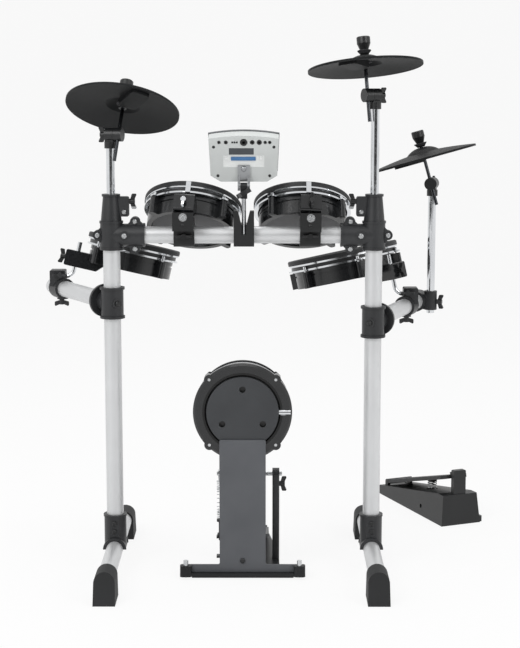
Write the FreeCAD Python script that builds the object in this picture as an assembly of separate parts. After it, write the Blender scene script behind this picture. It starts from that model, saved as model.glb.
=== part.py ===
import FreeCAD, Part
import math
import os
from FreeCAD import Placement, Rotation, Vector

# Electronic drum kit, in millimetres.
# The origin is on the floor under the middle of the kick stand's base bar.
# +X is the audience's right, +Y points to the drummer and +Z is up.

# Rack tubing
TUBE_D = 38.1
TUBE_WALL = 2.0
RACK_Y = 78.0
UPRIGHT_X = 292.5
CROSSBAR_Z = 763.0
FOOT_Z = 47.0
FOOT_LENGTH = 540.0

# Fits between pieces
SEAT_GAP = 0.1
RUN_GAP = 0.06
SKIN_GAP = 0.4

# Moulded rack fittings
FIT_WALL = 6.0
FIT_SPLIT = 1.0
FIT_BELOW = 33.0
FIT_ABOVE = 29.0
SLEEVE_REACH = 75.0
COLLAR_RISE = 62.0
COLLAR_BOLT_SHARES = (0.36, 0.74)
COLLAR_TOP_D = 35.0
EAR_R = 11.0
EAR_REACH = 30.0
EAR_INSET = 22.0
EAR_DEPTH = 20.0
BOLT_HEAD_D = 11.0
BOLT_HEAD_H = 4.5
BOLT_SHANK_D = 6.0
BOLT_BITE = 7.0
WING_SPAN = 34.0
WING_RISE = 18.0
WING_THICK = 5.0
MODULE_WING_THICK = 10.0
WING_HUB_D = 12.0
WING_HUB_H = 13.0
RING_H = 5.0
RING_PROUD = 1.5
COLLAR_EAR_REACH = 40.0
COLLAR_EAR_DEPTH = 17.0
BUTT_GAP = 0.8
FOOT_COLLAR_H = 52.0
FOOT_BOLT_SHARES = (0.3, 0.66)
SADDLE_LENGTH = 62.0

# Rubber end caps of the feet
CAP_WIDTH = 48.0
CAP_LENGTH = 62.0
CAP_WALL = 4.0
CAP_SLOPE = 18.0

# Cymbal poles, tilters and rods
POLE_D = 19.05
TILTER_R = 15.0
TILTER_THICK = 19.0
TILTER_GAP = 0.5
SOCKET_D = 26.0
SOCKET_H = 30.0
PIN_BITE = 4.0
ROD_D = 8.0
CYMBAL_D = 254.0
CYMBAL_THICK = 6.5
CYMBAL_EDGE = 5.0
CYMBAL_HOLE_D = 13.0
BELL_D = 78.0
BELL_H = 13.0
BOW_DROP = 12.0
BELL_FULLNESS = 0.72
BOW_FULLNESS = 0.42
FELT_D = 30.0
FELT_SEAT_D = 18.0
FELT_H = 10.0
ROCK_GAP = 0.6
SENSOR_AT = 24.0
SENSOR_LENGTH = 88.0
SENSOR_W = 42.0
SENSOR_H = 15.0
KNOB_D = 30.0
KNOB_WAIST_D = 24.0
KNOB_H = 30.0
KNOB_EDGE = 1.5

# Each cymbal: pole foot, or its place from the right arm's outer end, tilter height, turn about Z,
# tilt, the rod's side of the tilter, rod ends from the tilter, and the cymbal's seat along the rod.
RIDE = {"foot": Vector(-UPRIGHT_X, RACK_Y, 560), "tilter_z": 985, "turn": -15, "tilt": 27, "side": 1,
        "rod": (-62, 132), "seat": 84, "sensor_turn": -50}
CRASH = {"foot": Vector(UPRIGHT_X, RACK_Y, 590), "tilter_z": 1071, "turn": 25, "tilt": 10.5, "side": -1,
         "rod": (-58, 124), "seat": 82, "sensor_turn": -140}
HIHAT = {"from_arm": Vector(33.4, -28.7, -28), "tilter_z": 856, "turn": 75, "tilt": 16, "side": -1,
         "rod": (-52, 130), "seat": 84, "sensor_turn": 158}

# Pads
PAD_8 = 203.2
PAD_10 = 254.0
PAD_KICK = 194.0
RIM_OVER = 9.4
RIM_PROUD = 9.0
PAD_DEPTH = 62.0
SHELL_WALL = 4.0
SHELL_INSET = 2.0
STEP_Z = 30.0
STEP_H = 4.0
STEP_DEPTH = 2.5
BASE_RECESS = 7.0
BASE_RIM = 13.0
HOOP_TOP = 3.0
HOOP_H = 17.0
HOOP_THICK = 2.4
HOOP_FLANGE = 4.0
HEAD_THICK = 3.0
LUGS_8 = 4
LUGS_10 = 6
LUG_W = 14.0
LUG_D = 18.2
LUG_TOP = 23.0
TENSION_D = 5.0
TENSION_HEAD_D = 8.0
TENSION_HEAD_H = 7.0
TENSION_BITE = 14.0
CLAW_W = 18.0
TAB_W = 11.0
TAB_H = 26.0
TAB_THICK = 2.0
TRIGGER_LOW_D = 60.0
TRIGGER_TOP_D = 28.0
HOLDER_W = 46.0
HOLDER_H = 38.0
HOLDER_DROP = 20.0
HOLDER_OUT = 42.0
HOLDER_UNDER = 45.0
L_ROD_D = 10.5
L_ROD_OFFSET = 16.0
L_ROD_BEND = 20.0
L_ROD_PROUD = 22.0

# Places of the pads: centre of the head, or its place from the arm's outer end, roll about Y,
# tilt to the drummer, the azimuth of its rod holder in the pad's own plane, and the clamp's x.
LEFT_TOM = {"centre": Vector(-114, RACK_Y + 96, 820), "roll": 6, "tilt": 30, "holder": -96, "clamp": -130}
RIGHT_TOM = {"centre": Vector(135, RACK_Y + 96, 820), "roll": 0, "tilt": 30, "holder": -84, "clamp": 150}
FLOOR_TOM = {"from_arm": Vector(156.5, -127.9, 102), "roll": 13, "tilt": 6, "holder": 180}
SNARE = {"from_arm": Vector(-183.2, -61.5, 110), "roll": -12, "tilt": 6, "holder": -47}

# Clamps of the crossbar toms
TOM_CLAMP_W = 46.0
TOM_CLAMP_WALL = 5.5
NOSE_GAP = 4.0
NOSE_H = 26.0

# Side arms
LEFT_ARM = {"z": 611, "turn": 30, "length": 340}
RIGHT_ARM = {"z": 568, "turn": -21, "length": 395}
T_SLEEVE_H = 70.0
T_SOCKET = 74.0
T_FLANGE_R = 37.5
T_FLANGE_H = 8.0
T_FLANGE_AT = 36.0
ROD_RISE = 29.0
RING_W = 40.0
CLAMP_BLOCK_W = 34.0
CLAMP_BLOCK_LENGTH = 52.0
CLAMP_BLOCK_WALL = 10.0

# Kick stand
STAND_W = 280.0
SHEET = 4.0
SHEET_LOW = 14.0
SHEET_FRONT = -14.0
KICK_PLATE_W = 103.0
KICK_PLATE_TOP = 316.0
KICK_Z = 377.0
BAR_DEPTH = 46.0
BAR_LOW = 6.0
BAR_TOP = 31.0
RAIL_TOP = 15.5
FOOT_BOLT_Z = 40.0
FOOT_LUG_DEPTH = 14.0
END_BLOCK_W = 26.0
END_BLOCK_FRONT = -30.0
SPIKE_D = 8.0
SPIKE_HEAD_D = 11.0
SPIKE_RISE = 12.0
BACK_RING_R = 110.0
BACK_RING_H = 15.0
BACK_DISC_D = 160.0
BACK_DISC_PROUD = 2.0
BACK_HOLE_D = 14.0
BACK_HOLE_R = 52.0
KICK_EAR_D = 22.8
KICK_LUGS = 4
BACK_HOLES = 3
SPIKE_TIP_D = 2.0
JACK_D = 11.0
JACK_LENGTH = 26.0
TONGUE_W = 60.0
TONGUE_H = 6.0

# Kick pedal
AXLE_D = 10.0
AXLE_Y = 125.0
AXLE_Z = 206.0
POST_X = (-36.0, 75.0)
POST_W = 16.0
POST_DEPTH = 30.0
BEARING_D = 26.0
CAM_X = 14.0
CAM_R = 30.0
CAM_W = 14.0
CAM_GROOVE = 4.5
BASE_PLATE_H = 5.0
BOARD_X = 18.0
BOARD_W = 82.0
BOARD_THICK = 6.0
BOARD_LENGTH = 235.0
BOARD_REST = 12.0
BOARD_OVER = 14.0
HEEL_Z = 20.0
HEEL_PIN_D = 6.0
KNUCKLE_D = 14.0
KNUCKLE_HALF = 29.0
HINGE_EAR = 8.0
HEEL_ROOM = 1.0
TOE_ROUND = 14.0
TREAD_ROWS = 9
TREAD_START = 60.0
TREAD_PITCH = 18.0
BEATER_REACH = 170.0
BEATER_REST = 40.0
BEATER_ROD_D = 8.0
BEATER_D = 46.0
BEATER_LENGTH = 42.0
CHAIN_PITCH = 13.0
CHAIN_WRAPPED = 4
CHAIN_W = 7.0
CHAIN_PLATE = 1.6
CHAIN_INNER = 2.4
CHAIN_OUTER = 4.4
ROCKER_X = -55.0
ROCKER_R = 24.0
ROCKER_THICK = 6.0
ROCKER_DROP = 30.0

# Springs: outside diameter, wire and turns
KICK_SPRING = {"d": 15.0, "wire": 2.2, "turns": 14}
HIHAT_SPRING = {"d": 24.0, "wire": 2.2, "turns": 5}
GAP_POINTS = 24
SPRING_LOW_Z = 92.0
SPRING_HANGER_D = 6.0
SPRING_BRACKET_Z = 52.0

# Hi-hat pedal: middle of its toe edge on the floor and its heading
HIHAT_PEDAL = {"toe": Vector(542, RACK_Y + 347, 0), "turn": 23}
PEDAL_TOE_W = 110.0
PEDAL_HEEL_W = 96.0
PEDAL_LENGTH = 360.0
PEDAL_TOE_H = 76.0
PEDAL_HEEL_H = 22.0
PEDAL_TOP_LENGTH = 34.0
PEDAL_DRAFT = 7.0
TOE_POST_W = 34.0
TOE_POST_DEPTH = 14.0
TOE_POST_TOP = 137.0
TOE_POST_AT = 9.0
TREADLE_W = 74.0
TREADLE_THICK = 9.0
TREADLE_REST = 15.0
TREADLE_SHORT = 60.0
TREADLE_OVER = 14.0
HEEL_INSET = 26.0
HEEL_RISE = 36.0
TOE_KNOB_D = 13.0
TOE_KNOB_H = 7.0
COIL_SHORT = 210.0
COIL_SEAT_Z = 42.0
COIL_ROOM = 4.0
SIDE_JACK_D = 10.0
SIDE_JACK_AT = Vector(0, 118, 24)
SIDE_JACK_IN = 44.0
SPUR_W = 20.0
SPUR_H = 14.0

# Sound module: its tilting axis, then sizes in its own leaning frame
MODULE_AT = Vector(3, RACK_Y - 25, 872)
MODULE_TILT = 18.0
MODULE_LOW = 7.0
MODULE_H = 107.0
MODULE_TOP_W = 154.0
MODULE_LOW_W = 147.0
MODULE_ARCH = 7.0
MODULE_CUT = (22.0, 14.0)
MODULE_BACK = 12.0
MODULE_DEPTH = 30.0
MODULE_WALL = 3.0
PANEL_THICK = 7.0
PANEL_LIP = 1.5
CIRCUIT_GAP = 8.0
CIRCUIT_THICK = 1.6
JACK_ROW = 92.0
JACKS = ((-54, 7), (-39, 8), (-25, 4), (-20, 4), (-15, 4), (0, 16), (18.6, 10), (34, 11), (47, 7), (57, 7))
JACK_PROUD = 1.0
PORT_X = (-28.0, 26.0)
PORT_Z = (50.0, 58.0)
PORT_PLATE_X = (-44.0, 44.0)
PORT_PLATE_Z = (35.0, 61.0)
PORT_RECESS = 1.2
PORT_POSTS_X = (-39.0, 37.7)
LABEL_X = (-31.5, 21.0)
LABEL_Z = (64.0, 78.0)
LABEL_RECESS = 0.6
CASE_SCREWS = ((-66, 81), (66, 81), (-57, 14), (57, 14))
CASE_SCREW_D = 6.0
CASE_SCREW_DEEP = 1.5
BRACKET_W = 27.0
BRACKET_H = 33.0
BRACKET_THICK = 4.0
BRACKET_LOW = 6.0
EYE_D = 18.0
EYE_W = 15.0
EYE_BLOCK_H = 26.0
MODULE_ROD_D = 9.5
MODULE_CLAMP_W = 45.0
MODULE_CLAMP_FRONT = 17.0
MODULE_CLAMP_WALL = 7.0
HORN_RISE = 30.0
WING_TURN = math.radians(30)
HORN_TOP_W = 9.0
NOTCH_W = 12.0
SLOT_H = 22.0
ROD_SOCKET = 30.0
DISPLAY_W = 62.0
DISPLAY_H = 26.0
DISPLAY_DEEP = 2.0
DISPLAY_AT = 78.0
CONTROL_Z = 36.0
DIAL_X = 44.0
DIAL_D = 32.0
DIAL_H = 9.0
VOLUME_X = -50.0
VOLUME_D = 16.0
VOLUME_H = 12.0
KNOB_SHAFT_D = 6.0
KEY_X = (-18.0, 8.0)
KEY_W = 16.0
KEY_H = 9.0
KEY_PROUD = 3.0
KEY_BACK = 5.0


def placed(shape, placement):
    """A copy of the shape, carried by a placement."""
    copy = shape.copy()
    copy.Placement = placement.multiply(copy.Placement)
    return copy


def mirrored(shape):
    """The same shape on the other side of the kit."""
    return shape.mirror(Vector(0, 0, 0), Vector(1, 0, 0))


def cylinder(diameter, start, end):
    axis = end.sub(start)
    return Part.makeCylinder(diameter / 2, axis.Length, start, axis)


def tube(diameter, wall, start, end):
    return cylinder(diameter, start, end).cut(cylinder(diameter - 2 * wall, start, end))


def box(x, y, z):
    """A box from three (low, high) pairs."""
    return Part.makeBox(x[1] - x[0], y[1] - y[0], z[1] - z[0], Vector(x[0], y[0], z[0]))


def prism(outline, direction):
    """A closed outline of points, pushed along a direction."""
    return Part.Face(Part.makePolygon(outline + [outline[0]])).extrude(direction)


def lathe(outline):
    """A closed (radius, height) outline turned about Z."""
    wire = Part.makePolygon([Vector(r, 0, z) for r, z in outline + [outline[0]]])
    return Part.Face(wire).revolve(Vector(0, 0, 0), Vector(0, 0, 1), 360)


def joined(shapes):
    return shapes[0].fuse(shapes[1:]).removeSplitter()


def rounded(shape, radius, along, where=lambda middle: True):
    """Round the straight edges that run along a direction."""
    edges = []
    for edge in shape.Edges:
        run = edge.Vertexes[-1].Point.sub(edge.Vertexes[0].Point)
        if run.Length < SEAT_GAP or not where(edge.CenterOfMass):
            continue
        if abs(abs(run.normalize().dot(along)) - 1) < 1e-6:
            edges.append(edge)
    return shape.makeFillet(radius, edges)


def half_corner(start, corner, end):
    """Half the angle between two legs at their corner."""
    to_start = start.sub(corner).normalize()
    return math.acos(to_start.dot(end.sub(corner).normalize())) / 2


def bent_rod(diameter, start, corner, end, bend):
    """A round rod with one bend between two straight legs."""
    to_start = start.sub(corner).normalize()
    to_end = end.sub(corner).normalize()
    half = half_corner(start, corner, end)
    reach = bend / math.tan(half)
    middle = to_start.add(to_end).normalize()
    top = corner.add(middle.multiply(bend / math.sin(half) - bend))
    first = corner.add(to_start * reach)
    last = corner.add(to_end * reach)
    path = Part.Wire([
        Part.LineSegment(start, first).toShape(),
        Part.Arc(first, top, last).toShape(),
        Part.LineSegment(last, end).toShape(),
    ])
    section = Part.Wire(Part.makeCircle(diameter / 2, start, first.sub(start)))
    return path.makePipeShell([section], True, False)


def bolt_hole(seat, inward):
    return cylinder(BOLT_SHANK_D + 2 * SEAT_GAP, seat, seat.add(inward * BOLT_BITE))


def bolt_shank(seat, inward):
    return cylinder(BOLT_SHANK_D, seat, seat.add(inward * (BOLT_BITE - SEAT_GAP)))


def bolt(seat, inward):
    """A pan-head bolt: its head stands on the seat and its shank bites inward."""
    head = cylinder(BOLT_HEAD_D, seat, seat.sub(inward * BOLT_HEAD_H))
    head = head.makeChamfer(BOLT_HEAD_H / 3, [head.Edges[0]])
    return joined([head, bolt_shank(seat, inward)])


def wing_bolt(seat, inward, span, thick=WING_THICK):
    """A wing bolt: a hub with two raised wings, and a shank that bites inward."""
    out = inward * -1
    side = out.cross(span)

    def at(across, up):
        return seat.add(span * across).add(out * up).sub(side * (thick / 2))

    half = WING_SPAN / 2
    hub_r = WING_HUB_D / 2
    outline = [
        at(-half, WING_HUB_H / 2), at(-half, WING_RISE), at(-hub_r, WING_HUB_H), at(hub_r, WING_HUB_H),
        at(half, WING_RISE), at(half, WING_HUB_H / 2), at(hub_r, WING_HUB_H / 4), at(-hub_r, WING_HUB_H / 4),
    ]
    wings = rounded(prism(outline, side * thick), WING_THICK / 2, side)
    hub = cylinder(WING_HUB_D, seat, seat.add(out * WING_HUB_H))
    return joined([hub, wings, bolt_shank(seat, inward)])


# Moulded fittings share one outer diameter over the tube.
FIT_D = TUBE_D + 2 * FIT_WALL
TUBE_BORE = TUBE_D + 2 * SEAT_GAP
FORWARD = Vector(0, -1, 0)
BACKWARD = Vector(0, 1, 0)
UPRIGHT_LOW = FOOT_Z + TUBE_D / 2 + BUTT_GAP
UPRIGHT_HIGH = CROSSBAR_Z + FIT_ABOVE - BUTT_GAP
COLLAR_LOW = CROSSBAR_Z + FIT_ABOVE
COLLAR_HIGH = COLLAR_LOW + COLLAR_RISE


def ear(root, tip):
    """A flat web across the fitting's split, from a spread root to a lobe round a bolt."""
    reach = tip.sub(root)
    across = reach.cross(BACKWARD).normalize()
    front = BACKWARD * (-EAR_DEPTH / 2)
    base = across * EAR_INSET
    end = across * EAR_R
    outline = [root.add(base), tip.add(end), tip.sub(end), root.sub(base)]
    web = prism([corner.add(front) for corner in outline], BACKWARD * EAR_DEPTH)
    return web.fuse(cylinder(2 * EAR_R, tip.add(front), tip.sub(front)))


def corner_fitting():
    """The right corner fitting: two halves bolted over upright, crossbar and pole."""
    axis = Vector(UPRIGHT_X, RACK_Y, CROSSBAR_Z)
    low = axis.sub(Vector(0, 0, FIT_BELOW))
    high = Vector(UPRIGHT_X, RACK_Y, COLLAR_LOW)
    top = Vector(UPRIGHT_X, RACK_Y, COLLAR_HIGH)
    sleeve_end = axis.sub(Vector(SLEEVE_REACH, 0, 0))
    sleeve_bolt = sleeve_end.add(Vector(EAR_INSET, 0, 0))
    sideways = Vector(EAR_REACH, 0, 0)
    upward = Vector(0, 0, EAR_REACH)
    tips = [axis.add(sideways), sleeve_bolt.add(upward), sleeve_bolt.sub(upward)]
    share = TUBE_D / 2 / EAR_REACH
    roots = [
        axis.add(sideways * share), sleeve_bolt.add(upward * share), sleeve_bolt.sub(upward * share)]
    middle = axis.sub(Vector(FIT_D / 2 + EAR_R / 2, 0, 0))
    boss_front = middle.add(FORWARD * (FIT_D / 2 + RING_PROUD))
    collar_ears = box(
        (UPRIGHT_X - COLLAR_EAR_REACH, UPRIGHT_X),
        (RACK_Y - COLLAR_EAR_DEPTH / 2, RACK_Y + COLLAR_EAR_DEPTH / 2),
        (COLLAR_LOW + COLLAR_RISE / 5, COLLAR_HIGH - COLLAR_RISE / 12),
    )
    ring_half = Vector(0, 0, RING_H / 2)
    solids = [
        cylinder(FIT_D, low, high),
        cylinder(FIT_D, axis, sleeve_end),
        Part.makeCone(FIT_D / 2 - RING_PROUD, COLLAR_TOP_D / 2, COLLAR_RISE, high),
        cylinder(FIT_D + 2 * RING_PROUD, high.sub(ring_half), high.add(ring_half)),
        cylinder(COLLAR_TOP_D + 4 * RING_PROUD, top.sub(Vector(0, 0, RING_H)), top),
        cylinder(FIT_D + 2 * RING_PROUD, sleeve_end, sleeve_end.add(Vector(RING_H, 0, 0))),
        cylinder(FIT_D + 2 * RING_PROUD, low, low.add(Vector(0, 0, RING_H))),
        cylinder(2 * EAR_R, middle, boss_front),
        rounded(collar_ears, COLLAR_EAR_DEPTH / 4, BACKWARD),
    ]
    solids += [ear(root, tip) for root, tip in zip(roots, tips)]
    seats = [tip.add(FORWARD * (EAR_DEPTH / 2)) for tip in tips] + [boss_front]
    ear_x = UPRIGHT_X - COLLAR_EAR_REACH + BOLT_HEAD_D
    ear_y = RACK_Y - COLLAR_EAR_DEPTH / 2
    clamp_z, wing_z = [COLLAR_LOW + COLLAR_RISE * share for share in COLLAR_BOLT_SHARES]
    seats.append(Vector(ear_x, ear_y, clamp_z))
    outward = Vector(1, 0, 0)
    wing_seat = Vector(UPRIGHT_X - COLLAR_EAR_REACH, RACK_Y, wing_z)
    cuts = [
        cylinder(TUBE_BORE, low, Vector(UPRIGHT_X, RACK_Y, UPRIGHT_HIGH)),
        cylinder(TUBE_BORE, axis, Vector(0, RACK_Y, CROSSBAR_Z)),
        cylinder(POLE_D + 2 * RUN_GAP, axis, top),
        box((0, 2 * UPRIGHT_X), (RACK_Y - FIT_SPLIT / 2, RACK_Y + FIT_SPLIT / 2), (0, 2 * CROSSBAR_Z)),
    ]
    cuts += [bolt_hole(seat, BACKWARD) for seat in seats] + [bolt_hole(wing_seat, outward)]
    bolts = [bolt(seat, BACKWARD) for seat in seats]
    bolts.append(wing_bolt(wing_seat, outward, Vector(0, 0, 1)))
    return joined(solids).cut(cuts).Solids, bolts


def foot_clamp():
    """The right foot clamp: a collar under the upright and a saddle over the foot bar."""
    foot = Vector(UPRIGHT_X, RACK_Y, FOOT_Z)
    collar_top = foot.add(Vector(0, 0, TUBE_D / 2 + FIT_WALL + FOOT_COLLAR_H))
    half = Vector(0, SADDLE_LENGTH / 2, 0)
    rim = Vector(0, 0, RING_H)
    lip = Vector(0, RING_H, 0)
    saddle_ends = [foot.sub(half), foot.add(half)]
    front_y = RACK_Y - FIT_D / 2 - RING_PROUD
    panel_low = FOOT_Z + FIT_D / 2
    panel_heights = (panel_low - FIT_WALL / 2, collar_top.z)
    panel = box((UPRIGHT_X - EAR_R, UPRIGHT_X + EAR_R), (front_y, RACK_Y), panel_heights)
    seats = [Vector(UPRIGHT_X, front_y, panel_low + FOOT_COLLAR_H * share) for share in FOOT_BOLT_SHARES]
    solids = [
        cylinder(FIT_D, foot, collar_top), cylinder(FIT_D, *saddle_ends),
        cylinder(FIT_D + 2 * RING_PROUD, collar_top.sub(rim), collar_top),
        cylinder(FIT_D + 2 * RING_PROUD, saddle_ends[0], saddle_ends[0].add(lip)),
        cylinder(FIT_D + 2 * RING_PROUD, saddle_ends[1].sub(lip), saddle_ends[1]), panel,
    ]
    cuts = [
        cylinder(TUBE_BORE, foot.sub(half), foot.add(half)),
        cylinder(TUBE_BORE, Vector(UPRIGHT_X, RACK_Y, UPRIGHT_LOW), collar_top),
        box((0, 2 * UPRIGHT_X), (RACK_Y - SADDLE_LENGTH, RACK_Y + SADDLE_LENGTH), (0, FOOT_Z)),
    ]
    cuts += [bolt_hole(seat, BACKWARD) for seat in seats]
    return joined(solids).cut(cuts), [bolt(seat, BACKWARD) for seat in seats]


def foot_cap(direction):
    """A rubber cap on one end of the right foot bar: arched, with a sloping end face."""
    arch = TUBE_D / 2 + CAP_WALL
    outline = Part.Wire([
        Part.LineSegment(Vector(-CAP_WIDTH / 2, 0, 0), Vector(CAP_WIDTH / 2, 0, 0)).toShape(),
        Part.LineSegment(Vector(CAP_WIDTH / 2, 0, 0), Vector(arch, 0, FOOT_Z)).toShape(),
        Part.Arc(Vector(arch, 0, FOOT_Z), Vector(0, 0, FOOT_Z + arch), Vector(-arch, 0, FOOT_Z)).toShape(),
        Part.LineSegment(Vector(-arch, 0, FOOT_Z), Vector(-CAP_WIDTH / 2, 0, 0)).toShape(),
    ])
    length = CAP_LENGTH + CAP_SLOPE
    top = FOOT_Z + arch
    slope = prism(
        [Vector(-CAP_WIDTH, length, 0), Vector(-CAP_WIDTH, length, top), Vector(-CAP_WIDTH, CAP_LENGTH, top)],
        Vector(2 * CAP_WIDTH, 0, 0),
    )
    depth = CAP_LENGTH - CAP_WALL
    bore = cylinder(TUBE_BORE, Vector(0, 0, FOOT_Z), Vector(0, depth, FOOT_Z))
    cap = Part.Face(outline).extrude(Vector(0, length, 0)).cut([slope, bore])
    start = RACK_Y + direction * (FOOT_LENGTH / 2 - depth)
    turn = Rotation(Vector(0, 0, 1), 0 if direction > 0 else 180)
    return placed(cap, Placement(Vector(UPRIGHT_X, start, 0), turn))


def rack():
    """Nodes of the fixed rack."""
    upright = tube(
        TUBE_D, TUBE_WALL, Vector(UPRIGHT_X, RACK_Y, UPRIGHT_LOW), Vector(UPRIGHT_X, RACK_Y, UPRIGHT_HIGH))
    butt = UPRIGHT_X - TUBE_D / 2 - BUTT_GAP
    bar_ends = [Vector(side * butt, RACK_Y, CROSSBAR_Z) for side in (-1, 1)]
    foot_half = Vector(0, FOOT_LENGTH / 2, 0)
    foot = Vector(UPRIGHT_X, RACK_Y, FOOT_Z)
    foot_bar = tube(TUBE_D, TUBE_WALL, foot.sub(foot_half), foot.add(foot_half))
    corner, corner_bolts = corner_fitting()
    clamp, clamp_bolts = foot_clamp()
    caps = [foot_cap(direction) for direction in (-1, 1)]
    bolts = corner_bolts + clamp_bolts
    return {
        "right_upright": [upright],
        "left_upright": [mirrored(upright)],
        "crossbar": [tube(TUBE_D, TUBE_WALL, bar_ends[0], bar_ends[1])],
        "foot_bars": [foot_bar, mirrored(foot_bar)],
        "rubber_feet": caps + [mirrored(cap) for cap in caps],
        "corner_fittings": corner + [mirrored(half) for half in corner],
        "foot_clamps": [clamp, mirrored(clamp)],
        "rack_bolts": bolts + [mirrored(piece) for piece in bolts],
    }


def tilted(spec):
    """The placement of a pad: its head's centre, with its roll and tilt."""
    roll = Rotation(Vector(0, 1, 0), spec["roll"])
    lean = Rotation(Vector(1, 0, 0), -spec["tilt"])
    return Placement(spec["centre"], roll.multiply(lean))


def around(shape, degrees):
    return placed(shape, Placement(Vector(0, 0, 0), Rotation(Vector(0, 0, 1), degrees)))


def pad_shell(diameter, lug_angles):
    """A moulded cup with a stepped wall, a recessed base and a lug for each tension rod."""
    wall_r = diameter / 2 - SHELL_INSET
    step_r = wall_r - STEP_DEPTH
    panel_r = wall_r - BASE_RIM
    panel_z = BASE_RECESS - PAD_DEPTH
    cup = lathe([
        (wall_r - SHELL_WALL, -HEAD_THICK), (wall_r, -HEAD_THICK), (wall_r, -STEP_Z), (step_r, -STEP_Z),
        (step_r, -STEP_Z - STEP_H), (wall_r, -STEP_Z - STEP_H), (wall_r, -PAD_DEPTH),
        (panel_r + BASE_RECESS / 3, -PAD_DEPTH), (panel_r, panel_z), (0, panel_z),
        (0, panel_z + SHELL_WALL), (wall_r - SHELL_WALL, panel_z + SHELL_WALL),
    ])
    rod_r = tension_radius(diameter)
    lug = box((step_r - STEP_DEPTH, wall_r + LUG_D), (-LUG_W / 2, LUG_W / 2), (-PAD_DEPTH, -LUG_TOP))
    lug = rounded(lug, LUG_W / 3, Vector(0, 0, 1))
    inner = box((0, step_r - STEP_DEPTH / 2), (-LUG_W, LUG_W), (-PAD_DEPTH, 0))
    lug = lug.cut(inner)
    hole = cylinder(
        TENSION_D + 2 * SEAT_GAP, Vector(rod_r, 0, -LUG_TOP - TENSION_BITE), Vector(rod_r, 0, 0))
    solids = [cup] + [around(lug, angle) for angle in lug_angles]
    return joined(solids).cut([around(hole, angle) for angle in lug_angles])


def tension_radius(diameter):
    return diameter / 2 - SHELL_INSET + LUG_D / 2


def pad_hoop(diameter, lug_angles, tab_angle):
    """A channelled steel hoop with a claw and a tension rod at each lug."""
    inner = diameter / 2 + SKIN_GAP
    web = inner + HOOP_THICK
    outer = diameter / 2 + RIM_OVER - RIM_OVER / 8
    top = -HOOP_TOP
    low = top - HOOP_H
    rod_r = tension_radius(diameter)
    ring = lathe([
        (inner, top), (outer, top), (outer, top - HOOP_FLANGE), (web, top - HOOP_FLANGE),
        (web, low + HOOP_FLANGE), (outer, low + HOOP_FLANGE), (outer, low), (inner, low),
    ])
    claw = box(
        (web - HOOP_THICK / 2, rod_r + CLAW_W / 2), (-CLAW_W / 2, CLAW_W / 2), (low, low + HOOP_FLANGE))
    claw = rounded(claw, CLAW_W / 4, Vector(0, 0, 1), lambda middle: middle.x > rod_r)
    hole = cylinder(TENSION_D + 2 * SEAT_GAP, Vector(rod_r, 0, low), Vector(rod_r, 0, low + HOOP_FLANGE))
    seat = Vector(rod_r, 0, low + HOOP_FLANGE)
    rod = joined([
        cylinder(TENSION_D, Vector(rod_r, 0, -LUG_TOP - TENSION_BITE + SEAT_GAP), seat),
        cylinder(TENSION_HEAD_D, seat, seat.add(Vector(0, 0, TENSION_HEAD_H))),
    ])
    solids = [ring] + [around(claw, angle) for angle in lug_angles]
    if tab_angle is not None:
        guard_r = diameter / 2 + RIM_OVER
        tab = box((guard_r + SKIN_GAP, guard_r + TAB_THICK), (-TAB_W / 2, TAB_W / 2), (low, low + TAB_H))
        root = box((web, guard_r + TAB_THICK), (-TAB_W / 2, TAB_W / 2), (low, low + HOOP_FLANGE))
        tab = tab.fuse(root)
        solids.append(around(tab, tab_angle))
    hoop = joined(solids).cut([around(hole, angle) for angle in lug_angles])
    return [hoop] + [around(rod, angle) for angle in lug_angles]


def pad_head(diameter):
    """The stretched head, and the rubber guard that covers the hoop's upper edge."""
    inner = diameter / 2 + SKIN_GAP
    outer = diameter / 2 + RIM_OVER
    head = cylinder(diameter, Vector(0, 0, -HEAD_THICK), Vector(0, 0, 0))
    guard = lathe([
        (inner, -HOOP_TOP), (outer, -HOOP_TOP), (outer, RIM_PROUD - RIM_OVER / 3),
        (outer - RIM_OVER / 3, RIM_PROUD), (inner + RIM_OVER / 4, RIM_PROUD),
        (inner, RIM_PROUD - RIM_OVER / 4),
    ])
    return [head, guard]


def trigger():
    """The foam cone that carries the head's movement to the sensor in the base."""
    low = BASE_RECESS - PAD_DEPTH + SHELL_WALL
    return Part.makeCone(TRIGGER_LOW_D / 2, TRIGGER_TOP_D / 2, -HEAD_THICK - low, Vector(0, 0, low))


def holder_radius(diameter):
    """Distance from the pad's axis to the L-rod in its holder."""
    return diameter / 2 + RIM_OVER + L_ROD_OFFSET


def rod_holder(diameter, under):
    """The box on the pad's wall that grips the L-rod, along +X, with its wing bolt."""
    wall_r = diameter / 2 - SHELL_INSET
    low = -PAD_DEPTH - HOLDER_DROP
    top = low + HOLDER_H
    end = diameter / 2 + RIM_OVER + HOLDER_OUT
    start = wall_r - SHELL_WALL / 2
    outline = [(start, top), (end, top), (end, low), (wall_r - under + HOLDER_DROP, low)]
    outline += [(wall_r - under, -PAD_DEPTH), (start, -PAD_DEPTH)]
    side = Vector(0, HOLDER_W, 0)
    body = prism([Vector(x, -HOLDER_W / 2, z) for x, z in outline], side)
    body = rounded(body, SHELL_WALL, Vector(0, 1, 0), lambda middle: middle.x > end - SEAT_GAP)
    rod_x = holder_radius(diameter)
    bore = cylinder(L_ROD_D + 2 * RUN_GAP, Vector(rod_x, 0, low), Vector(rod_x, 0, top))
    seat = Vector(end, 0, (low + top) / 2)
    inward = Vector(-1, 0, 0)
    return body.cut([bore, bolt_hole(seat, inward)]), wing_bolt(seat, inward, Vector(0, 0, 1))


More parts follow.
